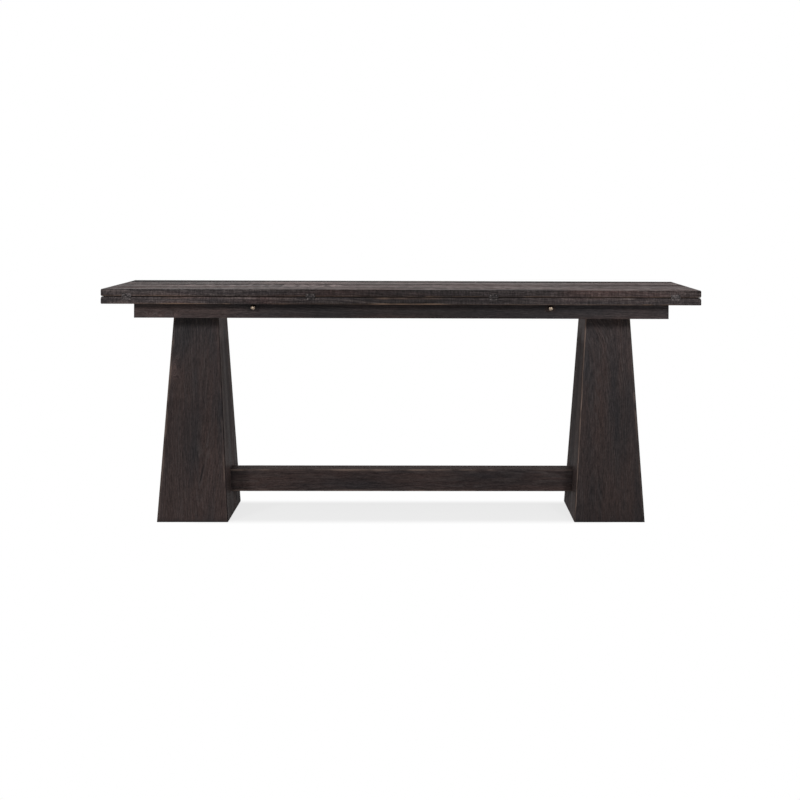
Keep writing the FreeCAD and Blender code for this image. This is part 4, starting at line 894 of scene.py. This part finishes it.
# a white sheet: plain paper to the light, and white to the camera and to reflections except under the
# table, where the table's shadow shows
def paperFloor(look):
    half = look["floorHalf"]
    mesh = bpy.data.meshes.new("floor")
    corners = [(-half, -half, 0), (half, -half, 0), (half, half, 0), (-half, half, 0)]
    mesh.from_pydata(corners, [], [(0, 1, 2, 3)])
    floor = bpy.data.objects.new("floor", mesh)
    bpy.context.collection.objects.link(floor)
    material, tree = freshMaterial("floor_paper")
    places = put(tree, "SeparateXYZ", [objectPlace(tree)]).node.outputs
    shown = look["shadowShare"]
    soft = look["shadowSoft"] / 2
    for place, reach in zip(places, look["shadowHalf"]):
        edge = rise(tree, calc(tree, "ABSOLUTE", place), reach - soft, reach + soft, 1.0, 0.0)
        shown = calc(tree, "MULTIPLY", edge, shown)
    glowShare = calc(tree, "MULTIPLY", seenRay(tree), calc(tree, "SUBTRACT", 1.0, shown))
    paper = put(tree, "BsdfDiffuse", {"Color": (*look["paper"], 1.0)})
    glow = put(tree, "Emission", {"Color": (1.0, 1.0, 1.0, 1.0), "Strength": 1.0})
    put(tree, "OutputMaterial", {"Surface": put(tree, "MixShader", [glowShare, paper, glow])})
    mesh.materials.append(material)


def seenRay(tree):
    rays = put(tree, "LightPath").node.outputs
    seen = calc(tree, "MAXIMUM", rays["Is Camera Ray"], rays["Is Glossy Ray"])
    return calc(tree, "MAXIMUM", seen, rays["Is Transmission Ray"])


def whiteWorld(look):
    world = bpy.data.worlds.new("white_room")
    world.use_nodes = True
    tree = world.node_tree
    tree.nodes.clear()
    strength = put(tree, "MapRange", [seenRay(tree), 0.0, 1.0, look["ambient"], 1.0])
    sky = put(tree, "Background", {"Color": (1.0, 1.0, 1.0, 1.0), "Strength": strength})
    put(tree, "OutputWorld", {"Surface": sky})
    bpy.context.scene.world = world


lampLook = {
    "overhead": {"place": (0.0, -0.3, 3.0), "aim": (0.0, 0.0, 0.4), "size": (3.0, 1.4), "power": 45.0},
    "front_left": {"place": (-3.1, -3.8, 2.25), "aim": (0.0, 0.0, 0.45), "size": (0.8, 0.8),
                   "power": 92.0},
    "front_right": {"place": (1.95, -4.3, 2.45), "aim": (0.0, 0.0, 0.45), "size": (0.8, 0.8),
                    "power": 82.0},
}


def softLamp(name, look):
    data = bpy.data.lights.new(name, "AREA")
    data.shape, data.energy = "RECTANGLE", look["power"]
    data.size, data.size_y = look["size"]
    lamp = bpy.data.objects.new(name, data)
    lamp.visible_camera = False
    lamp.location = look["place"]
    lamp.rotation_euler = (Vector(look["aim"]) - Vector(look["place"])).to_track_quat("-Z", "Y").to_euler()
    bpy.context.collection.objects.link(lamp)


cameraLook = {
    "place": (0.05255, -4.08128, 1.06802),
    "yaw": 0.01424, "pitch": 0.00515, "roll": 0.00403,   # radians: right, down, anticlockwise
    "lens": 52.64, "shift": (-0.04375, -0.235),
}


def photoCamera(look):
    data = bpy.data.cameras.new("camera")
    data.lens, data.sensor_width = look["lens"], 36.0
    data.shift_x, data.shift_y = look["shift"]
    yaw, pitch, roll = look["yaw"], look["pitch"], look["roll"]
    forward = Vector((math.sin(yaw) * math.cos(pitch), math.cos(yaw) * math.cos(pitch), -math.sin(pitch)))
    level = Vector((math.cos(yaw), -math.sin(yaw), 0.0))
    up = level.cross(forward)
    right = math.cos(roll) * level + math.sin(roll) * up
    up = math.cos(roll) * up - math.sin(roll) * level
    camera = bpy.data.objects.new("camera", data)
    turn = Matrix((right, up, -forward)).transposed().to_4x4()
    camera.matrix_world = Matrix.Translation(look["place"]) @ turn
    bpy.context.collection.objects.link(camera)
    bpy.context.scene.camera = camera


paperFloor(stageLook)
whiteWorld(stageLook)
for name, look in lampLook.items():
    softLamp(name, look)
photoCamera(cameraLook)
bpy.context.scene.view_settings.view_transform = "Standard"
print("stage: floor, world,", len(lampLook), "lamps, camera")
